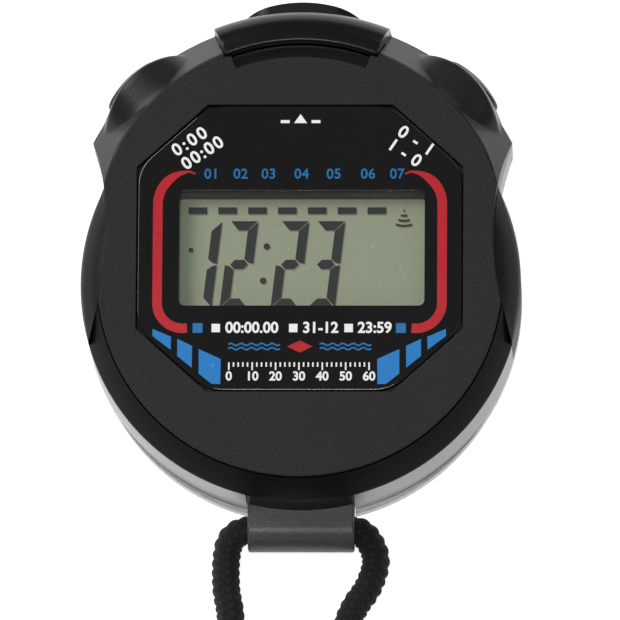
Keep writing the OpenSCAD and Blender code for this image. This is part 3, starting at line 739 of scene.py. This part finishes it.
def make_lower_ring(material):
    """The smooth sloping ring round the bottom, cut off by the waist arcs, with its tab."""
    inner_r = DISC_R + 0.1
    tip = math.asin(-3.4 / inner_r)
    top_z, low_z = FACE_Z - 0.6, RING_Z + 0.3

    def slope(radius):
        share = (radius - inner_r) / (BODY_R - inner_r)
        return top_z + (low_z - top_z) * share + 0.25 * math.sin(math.pi * share)

    def place(u, v):
        angle = tip + (-math.pi - 2 * tip) * u
        edge = max(inner_r, min(BODY_R, waist_distance(0.0, angle)))
        lip = min(0.12, (edge - inner_r) / 3)
        line = [(inner_r, RING_Z), (inner_r, slope(inner_r) - 2.5 * lip),
                (inner_r + 0.4 * lip, slope(inner_r) - lip), (inner_r + 1.3 * lip, slope(inner_r + lip))]
        line += [(r, slope(r)) for r in (inner_r + (edge - inner_r) * k / 6 for k in range(1, 6))]
        line += [(edge - lip, slope(edge - lip)), (edge - 0.2 * lip, slope(edge) - 0.3 * lip),
                 (edge, slope(edge) - 1.5 * lip), (edge, RING_Z), (inner_r, RING_Z)]
        radius, height = along_line(line, v)
        return polar(radius, angle, height)

    bm = formed_grid(place, 360, 39)
    close_and_face_out(bm)
    piece = add_object("lower_ring_smooth", finish_mesh(bm, "lower_ring_smooth", 60))
    dress(piece, material, "lower_ring")

    half = math.asin(LUG_W / 2 / BODY_R)
    outer = [polar(BODY_R, -math.pi / 2 + half * (k / 12 - 1), 0)[:2] for k in range(25)]
    inner = [polar(BODY_R - 0.9, -math.pi / 2 + half * (1 - k / 12), 0)[:2] for k in range(25)]
    bm = flat_plate(outer + inner, 2 * LUG_Z - 0.3, RING_Z + 0.15)
    bevel_edges(bm, 0.12, 2, 50)
    dress(true_flats(add_object("ring_tab", finish_mesh(bm, "ring_tab", 40))), material)


def make_grip(side, node, material):
    """One grained side grip between the waist arc and the round body."""
    top, bottom = math.atan2(14.32, 28.84), math.atan2(-9.05, 30.9)
    top_z, flat_r, fall, fall_width = 19.1, 28.2, 3.6, 4.0

    def height_at(radius):
        return top_z - fall * max(0.0, (radius - flat_r) / fall_width) ** 1.8

    def place(u, v):
        angle = bottom + (top - bottom) * u
        inner = min(BODY_R - 0.01, waist_distance(0.0, angle) + 0.05)
        span = BODY_R - inner
        lip = min(0.22, span / 4)
        round_r = min(0.8, span / 2.5)
        line = [(inner, GRIP_Z), (inner, height_at(inner) - lip), (inner + lip * 0.4, height_at(inner)),
                (inner + span * 0.35, height_at(inner + span * 0.35) + 0.03),
                (inner + span * 0.7, height_at(inner + span * 0.7)),
                (BODY_R - round_r * 0.35, height_at(BODY_R - round_r * 0.35) - 0.1),
                (BODY_R, height_at(BODY_R) - 0.9), (BODY_R, GRIP_Z + 0.3),
                (BODY_R - 0.2 * min(1.0, span), GRIP_Z), (inner, GRIP_Z)]
        if v < 0.1:
            radius, height = along_line(line[:2], v / 0.1)
        elif v <= 0.7:
            radius, height = along_line(smooth_line(line[1:7], 4), (v - 0.1) / 0.6)
        else:
            radius, height = along_line(line[6:], (v - 0.7) / 0.3)
        x, y, z = polar(radius, angle, height)
        return (side * x, y, z)

    bm = formed_grid(place, 110, 60)
    close_and_face_out(bm)
    piece = add_object(node + "_grained", finish_mesh(bm, node + "_grained", 45))
    return dress(piece, material, node)


# ---- Buttons ----


def make_side_button(angle, name, body, material):
    """A round cap with a domed face, on its stem."""
    def dome(r):
        return CAP_END - DOME_R + math.sqrt(DOME_R ** 2 - r * r)

    roof = CAP_END - CAP_ROOF
    half = [(r, dome(r)) for r in (0.0, 1.0, 2.0, 3.0, 4.0, 4.5)]
    half += [(4.72, dome(4.72) - 0.04), (4.85, dome(4.85) - 0.14), (CAP_R, dome(CAP_R) - 0.35),
            (CAP_R, 33.6), (CAP_R - 0.15, 33.5), (3.6, 33.5), (3.55, 33.6), (3.55, roof - 0.1),
            (3.45, roof), (1.2, roof), (1.2, 30.35), (0.9, 30.3), (0.9, 29.9), (1.2, 29.85),
            (1.2, 26.7), (1.0, 26.5), (0.0, 26.5)]
    outer = smooth_line(half[:9], 3) + half[9:]
    bm = bmesh.new()
    verts = [bm.verts.new(Vector((r, 0, z)) * MM) for r, z in outer]
    edges = [bm.edges.new(pair) for pair in zip(verts, verts[1:])]
    bmesh.ops.spin(bm, geom=verts + edges, cent=(0, 0, 0), axis=(0, 0, 1), angle=2 * math.pi,
                   steps=96, use_merge=True)
    bmesh.ops.remove_doubles(bm, verts=bm.verts, dist=0.001 * MM)
    bmesh.ops.transform(bm, matrix=button_matrix(angle), verts=bm.verts)
    bmesh.ops.recalc_face_normals(bm, faces=bm.faces)
    piece = add_object(name + "_cap", finish_mesh(bm, name + "_cap", 35), body)
    return dress(piece, material, name)


# ---- Lens, print and display ----


def rounded_outline(points, radius, steps=6):
    """A polygon's outline with each corner rounded by an arc's worth of points."""
    made = []
    count = len(points)
    for i, here in enumerate(points):
        here = Vector(here)
        back = (Vector(points[i - 1]) - here).normalized()
        on = (Vector(points[(i + 1) % count]) - here).normalized()
        start, stop = here + back * radius, here + on * radius
        for k in range(steps + 1):
            t = k / steps
            spot = start.lerp(here, t).lerp(here.lerp(stop, t), t)
            made.append((spot.x, spot.y))
    return made


def octagon(inset=0.0):
    """The lens outline, a rectangle with its corners cut off."""
    x, y = LENS_HALF_W - inset, LENS_HALF_H - inset
    cx, cy = LENS_CUT
    corners = [(x - cx, y), (x, y - cy), (x, cy - y), (x - cx, -y),
               (cx - x, -y), (-x, cy - y), (-x, y - cy), (cx - x, y)]
    return [(px, py + LENS_Y) for px, py in corners]


def rectangle(half_w, half_h, y, x=0.0):
    """A rectangle about a point, from half its width and height."""
    return [(x + half_w, y + half_h), (x + half_w, y - half_h),
            (x - half_w, y - half_h), (x - half_w, y + half_h)]


def make_lens(materials):
    """The printed lens with its window opening, and the clear pane in it."""
    bm = flat_plate(rounded_outline(octagon(), 2.6), LENS_TOP_Z - 1.2, LENS_TOP_Z)
    bevel_edges(bm, 0.24, 3, 60, lambda e: all(v.co.z > (LENS_TOP_Z - 0.1) * MM for v in e.verts))
    lens = add_object("lens_black", finish_mesh(bm, "lens_black", 30))
    window = rounded_outline(rectangle(WINDOW_HALF_W, WINDOW_HALF_H, WINDOW_Y, WINDOW_X), 1.0)
    cut(lens, loose_object(flat_plate(window, 10.0, 30.0), "window_cutter"))
    crisp(lens, 30)
    dress(true_flats(lens), materials["lens"], "lens_panel")
    pane_outline = rounded_outline(
        rectangle(WINDOW_HALF_W - 0.01, WINDOW_HALF_H - 0.01, WINDOW_Y, WINDOW_X), 1.0)
    bm = flat_plate(pane_outline, LENS_TOP_Z - 0.9, LENS_TOP_Z - 0.02)
    dress(add_object("lens_window", finish_mesh(bm, "lens_window", 30)), materials["pane"])


def print_plates(name, outlines, material, height=0.02, base=LENS_TOP_Z):
    """Flat marks of ink, joined as one piece."""
    bm = bmesh.new()
    for outline in outlines:
        verts = [bm.verts.new(Vector((x, y, base)) * MM) for x, y in outline]
        bm.faces.new(verts)
    bmesh.ops.recalc_face_normals(bm, faces=bm.faces)
    raised = bmesh.ops.extrude_face_region(bm, geom=bm.faces[:])
    moved = [g for g in raised["geom"] if isinstance(g, bmesh.types.BMVert)]
    bmesh.ops.translate(bm, verts=moved, vec=Vector((0, 0, height)) * MM)
    bmesh.ops.recalc_face_normals(bm, faces=bm.faces)
    return dress(add_object(name, finish_mesh(bm, name, 30)), material)


def mirrored(outlines):
    """Outlines again on the other side of the watch's middle."""
    return [[(-x, y) for x, y in reversed(outline)] for outline in outlines]


def ribbon(line, width_at):
    """The outline of a band of changing width along a line of points."""
    left, right = [], []
    for i, (x, y) in enumerate(line):
        x0, y0 = line[max(i - 1, 0)]
        x1, y1 = line[min(i + 1, len(line) - 1)]
        length = math.hypot(x1 - x0, y1 - y0)
        nx, ny = (y0 - y1) / length, (x1 - x0) / length
        half = width_at(i / (len(line) - 1)) / 2
        left.append((x + nx * half, y + ny * half))
        right.append((x - nx * half, y - ny * half))
    return left + right[::-1]


def arc(centre, radius, first, last, steps=14):
    """Points round an arc between two angles in degrees."""
    return [(centre[0] + radius * math.cos(math.radians(first + (last - first) * k / steps)),
             centre[1] + radius * math.sin(math.radians(first + (last - first) * k / steps)))
            for k in range(steps + 1)]


def red_brackets():
    """The two red bands either side of the window, each tapering at its top."""
    line = [(-16.35, -7.6)]
    line += arc((-17.0, -3.9), 3.75, 270, 180)
    line += [(-20.75, y) for y in (0, 4, 8)]
    line += arc((-15.9, 10.9), 4.85, 180, 93)
    line += [(-15.3, 15.4)]
    band = ribbon(line, lambda t: 1.4 if t < 0.75 else 1.4 - 1.15 * smoothstep(0.75, 1.0, t))
    return [band] + mirrored([band])


def blue_blocks():
    """Slanted blocks that grow towards the bottom of each corner cut."""
    blocks = [
        [(-21.36, -7.73), (-18.65, -8.9), (-18.7, -10.83), (-21.36, -8.79)],
        [(-17.74, -9.22), (-15.57, -10.25), (-15.6, -13.5), (-17.74, -11.75)],
        [(-14.6, -10.72), (-11.38, -12.22), (-11.42, -15.9), (-12.67, -15.9), (-14.6, -14.36)],
    ]
    squares = [square(-14.8, -7.6, 0.72)]
    return blocks + mirrored(blocks), squares + mirrored(squares)


def square(x, y, half):
    """A plain square about a point, from half its width."""
    return rectangle(half, half, y, x)


def wave_marks(x0, x1, y, rows):
    """Plain wavy lines one above the other."""
    marks = []
    for row in range(rows):
        steps = 56
        line = [(x0 + (x1 - x0) * k / steps,
                 y + 0.62 * (row - (rows - 1) / 2)
                 + 0.16 * math.sin(2 * math.pi * 5 * k / steps))
                for k in range(steps + 1)]
        marks.append(ribbon(line, lambda t: 0.24))
    return marks


def digits_mesh(text, size, at, angle=0.0, spacing=1.0, bold=0.0):
    """Plain numbers as a flat mesh, centred on a point."""
    curve = bpy.data.curves.new("digits", "FONT")
    curve.body = text
    curve.size = size * MM
    curve.align_x, curve.align_y = "CENTER", "CENTER"
    curve.space_character = spacing
    curve.offset = bold * MM
    curve.extrude = 0.01 * MM
    curve.resolution_u = 6
    loose = bpy.data.objects.new("digits", curve)
    bpy.context.collection.objects.link(loose)
    bpy.context.view_layer.update()
    mesh = bpy.data.meshes.new_from_object(loose.evaluated_get(bpy.context.evaluated_depsgraph_get()))
    bpy.data.objects.remove(loose)
    mesh.transform(Matrix.Translation(Vector((at[0], at[1], LENS_TOP_Z + 0.011)) * MM)
                   @ Matrix.Rotation(angle, 4, "Z"))
    return mesh


def joined(name, meshes, material):
    """Several meshes as one piece."""
    bm = bmesh.new()
    for mesh in meshes:
        bm.from_mesh(mesh)
    bmesh.ops.remove_doubles(bm, verts=bm.verts, dist=0.0005 * MM)
    return dress(add_object(name, finish_mesh(bm, name, 30)), material)


def make_print(materials):
    """The lens print: brackets, blocks and plain numbers."""
    print_plates("print_brackets", red_brackets(), materials["red"])
    diamond = [(0.1, -9.45), (1.95, -10.35), (0.1, -11.25), (-1.75, -10.35)]
    print_plates("print_diamond", [diamond], materials["red"])
    waves = wave_marks(-10.3, -2.8, -10.35, 2) + wave_marks(3.0, 10.5, -10.35, 2)
    blocks, small = blue_blocks()
    print_plates("print_blocks", blocks, materials["light_blue"])
    print_plates("print_blue_marks", small + waves, materials["blue"])
    squares = [square(x, -7.6, 0.62) for x in (-12.15, -0.87, 7.2)]
    scale_x, scale_top, tick_pitch, tick_half_w = -10.2, -12.7, 0.68, 0.11
    ticks = [rectangle(tick_half_w, length / 2, scale_top - length / 2, scale_x + tick_pitch * k)
             for k, length in ((k, 1.15 if k % 5 == 0 else 0.65) for k in range(31))]
    arrows = [[(-0.95, 23.0), (0.95, 23.0), (0.0, 24.35)]]
    bars = [[(x, 23.0), (x + 1.3, 23.0), (x + 1.3, 23.45), (x, 23.45)] for x in (-2.9, 1.6)]
    print_plates("print_marks", squares + ticks + arrows + bars, materials["white"])
    week = [digits_mesh(f"0{i + 1}", 2.1, (x, 15.35), 0, 1.05, 0.03)
            for i, x in enumerate((-12.95, -8.7, -4.6, 0.2, 4.9, 9.9, 14.15))]
    joined("print_day_numbers", week, materials["blue"])
    tilt = math.radians(34)
    labels = [
        digits_mesh("0:00", 2.6, (-16.2, 20.2), tilt, 1.3, 0.06),
        digits_mesh("00:00", 2.6, (-14.3, 18.5), tilt, 1.2, 0.06),
        digits_mesh("0 - 1", 2.6, (16.9, 20.3), -tilt, 1.2, 0.06),
        digits_mesh("1 - 0", 2.6, (15.2, 18.5), -tilt, 1.1, 0.06),
        digits_mesh("00:00.00", 2.25, (-6.9, -7.6), 0, 1.0, 0.06),
        digits_mesh("31-12", 2.25, (3.1, -7.6), 0, 1.0, 0.06),
        digits_mesh("23:59", 2.25, (11.0, -7.6), 0, 1.0, 0.06),
    ]
    labels += [digits_mesh(str(10 * k), 1.85, (scale_x + 5 * tick_pitch * k, -14.8), 0, 1.0, 0.05)
               for k in range(7)]
    joined("print_numbers", labels, materials["white"])


SEGMENTS = {"1": "bc", "2": "abged", "3": "abgcd"}


def segment_outlines(shown, left, top, width, height, thick):
    """Seven segment bars of a digit, slanted, each with cut ends."""
    lean = math.tan(math.radians(6.5))
    gap = 0.11
    half = height / 2
    right, bottom, middle = left + width, top - height, top - half
    t, g = thick, gap
    bars = {
        "a": [(left + g, top), (right - g, top), (right - t, top - t), (left + t, top - t)],
        "d": [(left + g, bottom), (left + t, bottom + t), (right - t, bottom + t),
              (right - g, bottom)],
        "g": [(left + t * 0.55, middle), (left + t, middle + t * 0.5), (right - t, middle + t * 0.5),
              (right - t * 0.55, middle), (right - t, middle - t * 0.5), (left + t, middle - t * 0.5)],
        "b": [(right, top - g), (right, middle + g), (right - t * 0.5, middle + t * 0.18),
              (right - t, middle + t * 0.5 + g), (right - t, top - t - g)],
        "c": [(right, bottom + g), (right - t, bottom + t + g), (right - t, middle - t * 0.5 - g),
              (right - t * 0.5, middle - t * 0.18), (right, middle - g)],
        "f": [(left, top - g), (left + t, top - t - g), (left + t, middle + t * 0.5 + g),
              (left + t * 0.5, middle + t * 0.18), (left, middle + g)],
        "e": [(left, bottom + g), (left, middle - g), (left + t * 0.5, middle - t * 0.18),
              (left + t, middle - t * 0.5 - g), (left + t, bottom + t + g)],
    }
    return [[(x + (y - bottom) * lean, y) for x, y in bars[name]] for name in shown]


def display_marks():
    """What the display shows: 12:23, seven day dashes and the beeper sign."""
    top, height, width, thick = 8.9, 12.95, 4.15, 1.4
    marks = []
    for digit, left in (("1", -17.05), ("2", -11.75), ("2", -4.3), ("3", 0.95)):
        marks += segment_outlines(SEGMENTS[digit], left, top, width, height, thick)
    for x, y in ((-4.9, 5.1), (-5.4, 0.0)):
        marks.append(arc((x, y), 0.48, 0, 345, 23))
    for k in range(7):
        x = -16.4 + 4.363 * k
        marks.append([(x, 10.97), (x + 2.75, 10.97), (x + 2.75, 9.95), (x, 9.95)])
    marks.append(square(-16.0, 4.6, 0.3))
    for k in range(4):
        half = 0.12 + 0.36 * k
        y = 10.45 - 0.75 * k
        line = [(15.13 + half * (s / 6 - 1), y + 0.07 * k * (s / 6 - 1) ** 2) for s in range(13)]
        marks.append(ribbon(line, lambda t: 0.32))
    return marks


def make_display(materials):
    """The display behind the window: its face, its segments and a faint painted shadow beside them."""
    bm = flat_plate(rectangle(22.0, 10.5, WINDOW_Y + 0.8), 16.0, DISPLAY_Z)
    face = add_object("display_face", finish_mesh(bm, "display_face", 30))
    dress(face, materials["display"], "lcd_front_glass")
    marks = display_marks()
    low = WINDOW_Y - 10.5 + 0.9
    marks = [[(x, max(y, low)) for x, y in outline] for outline in marks]
    # Painted shadow: each mark again, moved a little right and down, in the darker colour.
    shade = [[(x + 0.16, y - 0.2) for x, y in outline] for outline in marks]
    print_plates("display_painted_shadow", shade, materials["painted_segment_shadow"], 0.004, DISPLAY_Z)
    print_plates("display_segments", marks, materials["segment"], 0.006, DISPLAY_Z + 0.004)
    # A dark sheet over the display with its opening set low, so a dark strip shows along the window's top
    # edge: the display's border with painted shade.
    border_and_shade = flat_plate(rectangle(22.4, 12.2, WINDOW_Y), DISPLAY_Z + 0.02, DISPLAY_Z + 0.16)
    piece = add_object("display_border_and_shade", finish_mesh(border_and_shade, "display_border_and_shade", 30))
    opening = rounded_outline(
        rectangle(WINDOW_HALF_W + 0.02, 8.35, WINDOW_Y - 0.6, WINDOW_X), 0.5)
    cut(piece, loose_object(flat_plate(opening, 10.0, 30.0), "bezel_cutter"))
    crisp(piece, 30)
    dress(piece, materials["border_and_shade"])


# ---- Cord ----

CORD_LEFT = [
    (0, LUG_Y, LUG_Z), (-4, LUG_Y, LUG_Z), (-8, LUG_Y, LUG_Z), (-10.2, LUG_Y - 1.2, 3.1),
    (-11, -38.5, 2.3), (-11, -43, 2.1), (-10.4, -48, 2.3), (-12.5, -54, 2.9), (-17, -61, 2.9),
    (-19.6, -65.5, 2.3),
]
CORD_RIGHT = [
    (0, LUG_Y, LUG_Z), (4, LUG_Y, LUG_Z), (8, LUG_Y, LUG_Z), (10, LUG_Y - 1.6, 3.1),
    (10.9, -39, 2.3), (9.8, -42.7, 2.1), (7.7, -46, 2.1), (6.5, -50, 2.1), (8, -54.5, 2.4),
    (13, -59, 3.6), (19.6, -65.5, 6),
]


def coil_route():
    """The turns of the coil: three rings inwards on the table, then three outwards on top."""
    radii = [26.4, 22.2, 18.0]
    turns = len(radii)
    start, stop = math.radians(150), math.radians(30)
    sweep = 2 * math.pi * (2 * turns - 1) + (2 * math.pi + stop - start)
    steps = 26 * 2 * turns
    points = []
    for k in range(steps + 1):
        t = k / steps
        angle = start + sweep * t
        turn = t * 2 * turns
        depth = turn if turn < turns else 2 * turns - turn
        number = min(int(depth), turns - 1)
        into = smoothstep(0.72, 1.0, depth - number) if number < turns - 1 else 0.0
        radius = radii[number] - CORD_D * into
        layer = smoothstep(turns - 0.25, turns + 0.25, turn)
        points.append((COIL_AT[0] + radius * math.cos(angle), COIL_AT[1] + radius * math.sin(angle),
                       CORD_D / 2 + layer * (CORD_D - 0.05)))
    return points


def cord_route():
    """The whole cord from inside the lug, round its coil and back into the lug."""
    coil = coil_route()
    left = CORD_LEFT[:-1] + [(-20.0, -66.6, 2.1)]
    right = CORD_RIGHT[:-1] + [(19.0, -65.2, 5.6)]
    points = left + coil[1:-1] + right[::-1]
    return smooth_line(points, 6)


def resampled(line, fine, coarse, fine_end):
    """The line's points and distances, a fine step apart near both ends and coarser between."""
    lengths = [0.0]
    for a, b in zip(line, line[1:]):
        lengths.append(lengths[-1] + (Vector(b) - Vector(a)).length)
    total = lengths[-1]
    spots, at, i = [], 0.0, 0
    while at < total:
        while lengths[i + 1] < at:
            i += 1
        share = (at - lengths[i]) / (lengths[i + 1] - lengths[i])
        spots.append((tuple(Vector(line[i]).lerp(Vector(line[i + 1]), share)), at))
        at += fine if min(at, total - at) < fine_end else coarse
    return spots


def knit_height(around, along, wales=9, stitch=1.3):
    """Relief of a round knitted cord: columns of V stitches, 0 between yarns and 1 on a crown."""
    column = around * wales
    across = abs(column - math.floor(column) - 0.5) * 2
    shift = 0.5 * (math.floor(column) % 2)
    rows = along / stitch + 0.75 * across + shift
    leg = math.sin(math.pi * (rows - math.floor(rows)))
    edge = math.sin(math.pi * min(1.0, max(0.0, (1 - across) * 1.12 - 0.06)) / 2) ** 0.5
    middle = 0.35 + 0.65 * smoothstep(0.02, 0.4, across)
    return leg ** 0.7 * edge * middle


def make_cord(material):
    """The neck cord: one braided tube along its whole route."""
    spots = resampled(cord_route(), 0.17, 0.42, 46.0)
    line, travelled = [s[0] for s in spots], [s[1] for s in spots]
    rings = len(line) - 1
    sides = 34
    tangents = [(Vector(line[min(i + 1, rings)]) - Vector(line[max(i - 1, 0)])).normalized()
                for i in range(rings + 1)]
    base = CORD_D / 2 - 0.3

    bm = bmesh.new()
    bmesh.ops.create_grid(bm, x_segments=rings, y_segments=sides, size=0.5)
    uv = bm.loops.layers.uv.new("along")
    knit_relief = bm.verts.layers.float.new("knit_relief")
    places = {}
    for vert in bm.verts:
        i = round((vert.co.x + 0.5) * rings)
        k = round((vert.co.y + 0.5) * sides)
        places[vert] = (i, k)
    for face in bm.faces:
        for loop in face.loops:
            i, k = places[loop.vert]
            loop[uv].uv = (travelled[i] * 0.5, k / sides * 6.0)
    for vert, (i, k) in places.items():
        tangent = tangents[i]
        side = tangent.cross(Vector((0, 0, 1))).normalized()
        up = side.cross(tangent)
        turn = 2 * math.pi * k / sides
        lift = knit_height(k / sides % 1.0, travelled[i])
        ends = 0.0 if i in (0, rings) else 1.0
        radius = (base + 0.36 * lift) * ends
        spot = Vector(line[i]) + radius * (math.cos(turn) * side + math.sin(turn) * up)
        vert.co = spot * MM
        # The knit relief is kept on each vertex for the cord's painted shade between the yarns.
        vert[knit_relief] = lift
    bmesh.ops.remove_doubles(bm, verts=bm.verts, dist=0.0005 * MM)
    bmesh.ops.recalc_face_normals(bm, faces=bm.faces)
    piece = add_object("neck_cord", finish_mesh(bm, "neck_cord", 70))
    dress(piece, material, "cord_left", "cord_right", "cord_coil")
    return piece


# ---- Stage, light and camera ----


def make_stage():
    """A pale floor and soft studio light."""
    bm = bmesh.new()
    bmesh.ops.create_grid(bm, x_segments=1, y_segments=1, size=3.0)
    bmesh.ops.translate(bm, verts=bm.verts, vec=(0, 0, -FLOOR_DROP * MM))
    mesh = bpy.data.meshes.new("studio_floor")
    bm.to_mesh(mesh)
    bm.free()
    floor = bpy.data.objects.new("studio_floor", mesh)
    bpy.context.collection.objects.link(floor)
    pale = bpy.data.materials.new("Studio floor")
    pale.use_nodes = True
    shader = pale.node_tree.nodes["Principled BSDF"]
    shader.inputs["Base Color"].default_value = (0.5, 0.5, 0.5, 1.0)
    shader.inputs["Roughness"].default_value = 0.9
    shader.inputs["Emission Color"].default_value = (1.0, 1.0, 1.0, 1.0)
    shader.inputs["Emission Strength"].default_value = 0.85
    shader.inputs["Specular IOR Level"].default_value = 0.0
    mesh.materials.append(pale)

    world = bpy.data.worlds.new("studio")
    world.use_nodes = True
    world.node_tree.nodes["Background"].inputs["Color"].default_value = (1.0, 1.0, 1.0, 1.0)
    world.node_tree.nodes["Background"].inputs["Strength"].default_value = 0.10
    bpy.context.scene.world = world

    def lamp(name, place, aim, size, power):
        light = bpy.data.lights.new(name, "AREA")
        light.shape = "RECTANGLE"
        light.size, light.size_y = size
        light.energy = power
        holder = bpy.data.objects.new(name, light)
        bpy.context.collection.objects.link(holder)
        holder.location = place
        holder.rotation_euler = (Vector(aim) - Vector(place)).to_track_quat("-Z", "Y").to_euler()

    lamp("key_left", (-0.80, 0.62, 0.90), (0, 0, 0), (0.7, 0.7), 12.5)
    lamp("top_soft", (0.0, -0.16, 1.2), (0, 0, 0), (0.25, 0.2), 4.0)
    lamp("key_back", (0.55, 0.85, 0.75), (0, 0, 0), (0.6, 0.4), 1.3)
    lamp("fill_right", (0.95, -0.2, 0.85), (0, 0, 0), (0.5, 0.6), 0.6)
    lamp("fill_front", (-0.15, -1.0, 0.75), (0, 0, 0), (0.5, 0.3), 0.8)


def make_camera():
    """A long lens almost straight above, leaning a little towards the lug."""
    right = Vector((0.9995, 0.0066, -0.0312)).normalized()
    back = Vector((0.0319, -0.208, 0.978))
    back = (back - right * back.dot(right)).normalized()
    up = back.cross(right)
    distance = 1.5
    aim = Vector((1.25, -2.92, 10.0)) * MM
    camera = bpy.data.cameras.new("camera")
    camera.sensor_width = 36.0
    camera.lens = 36.0 * distance / 0.09083
    camera.clip_end = 20.0
    holder = bpy.data.objects.new("camera", camera)
    bpy.context.collection.objects.link(holder)
    turn = Matrix((right, up, back)).transposed().to_4x4()
    holder.matrix_world = Matrix.Translation(aim + back * distance) @ turn
    bpy.context.scene.camera = holder


# ---- Everything together ----


def dress_node(node, material):
    """A frame node that keeps its own mesh gets its loose triangles welded and its material."""
    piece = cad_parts[node]
    piece.data.materials.clear()
    piece.data.materials.append(material)
    weld = piece.modifiers.new("weld", "WELD")
    weld.merge_threshold = 0.002 * MM
    return piece


def main():
    """Builds every piece, the stage and the camera."""
    materials = make_materials()
    make_stage()
    make_camera()
    make_cord(materials["cord"])

    rounded_node("mid_case", materials["silver"], 0.24, 3, 35, name="silver_case")
    rounded_node("back_cover", materials["silver_back"], 0.3, 3, 35, name="silver_back")
    disc = rounded_node("front_cover", materials["cover"], 0.16, 2, 35, name="front_disc")
    # Painted shade: the disc's faces in the recess under the hood get the darker hood black, standing in
    # for the hood's shadow there.
    second_material(disc, materials["hood"], lambda at: (
        math.hypot(at.x, at.y - SHOULDER_Y) > RECESS_R - 0.05 and at.z < FACE_Z - 0.25
        and abs(math.atan2(at.x, at.y - SHOULDER_Y)) < RECESS_HALF + 0.01))
    rounded_node("lanyard_lug", materials["lug"], 0.35, 4, 35, name="lug_tube")
    rounded_node("mode_button", materials["button"], 0.5, 4, 50, "mode_key", "mode_cap")
    make_shoulders(materials["shell"])
    make_lower_ring(materials["ring"])
    make_hood(materials["hood"])
    make_grip(-1, "left_grip", materials["grip"])
    make_grip(1, "right_grip", materials["grip"])
    make_side_button(-SIDE_ANGLE, "left_button", "left_key", materials["button"])
    make_side_button(SIDE_ANGLE, "right_button", "right_key", materials["button"])
    make_lens(materials)
    make_print(materials)
    make_display(materials)

    inner = {
        "steel": ["back_screws", "board_screws", "quartz_crystal", "battery", "buzzer_spring",
                  "left_spring", "mode_spring", "right_spring", "left_clip", "mode_clip",
                  "right_clip"],
        "brass": ["left_contact", "mode_contact", "right_contact", "battery_plus", "battery_minus",
                  "buzzer_disc"],
        "elastomer": ["zebra_strips", "case_gasket", "left_seal", "mode_seal", "right_seal"],
        "white_part": ["lcd_frame", "battery_holder"],
        "display": ["lcd_rear_glass"],
        "reflector": ["lcd_reflector"],
        "board": ["circuit_board"],
        "epoxy": ["chip_blob"],
        "ceramic": ["chip_capacitors"],
        "clip": ["cord_clip"],
    }
    for key, nodes in inner.items():
        for node in nodes:
            dress_node(node, materials[key])

    half = math.sqrt(0.5)
    for key, out, end in (("left", (-half, half, 0), CAP_END), ("mode", (0, 1, 0), MODE_END),
                          ("right", (half, half, 0), CAP_END)):
        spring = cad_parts[key + "_spring"]
        floor_point = [c * POCKET_R * MM for c in out]
        floor_point[1] += SHOULDER_Y * MM
        floor_point[2] = PARTING_Z * MM
        copy = bpy.data.meshes.new_from_object(spring)
        piece = add_object(key + "_return_spring", copy)
        dress(piece, materials["steel"], key + "_spring")
        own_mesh(piece)

    scene = bpy.context.scene
    scene.view_settings.view_transform = "Standard"
    scene.view_settings.look = "None"


main()
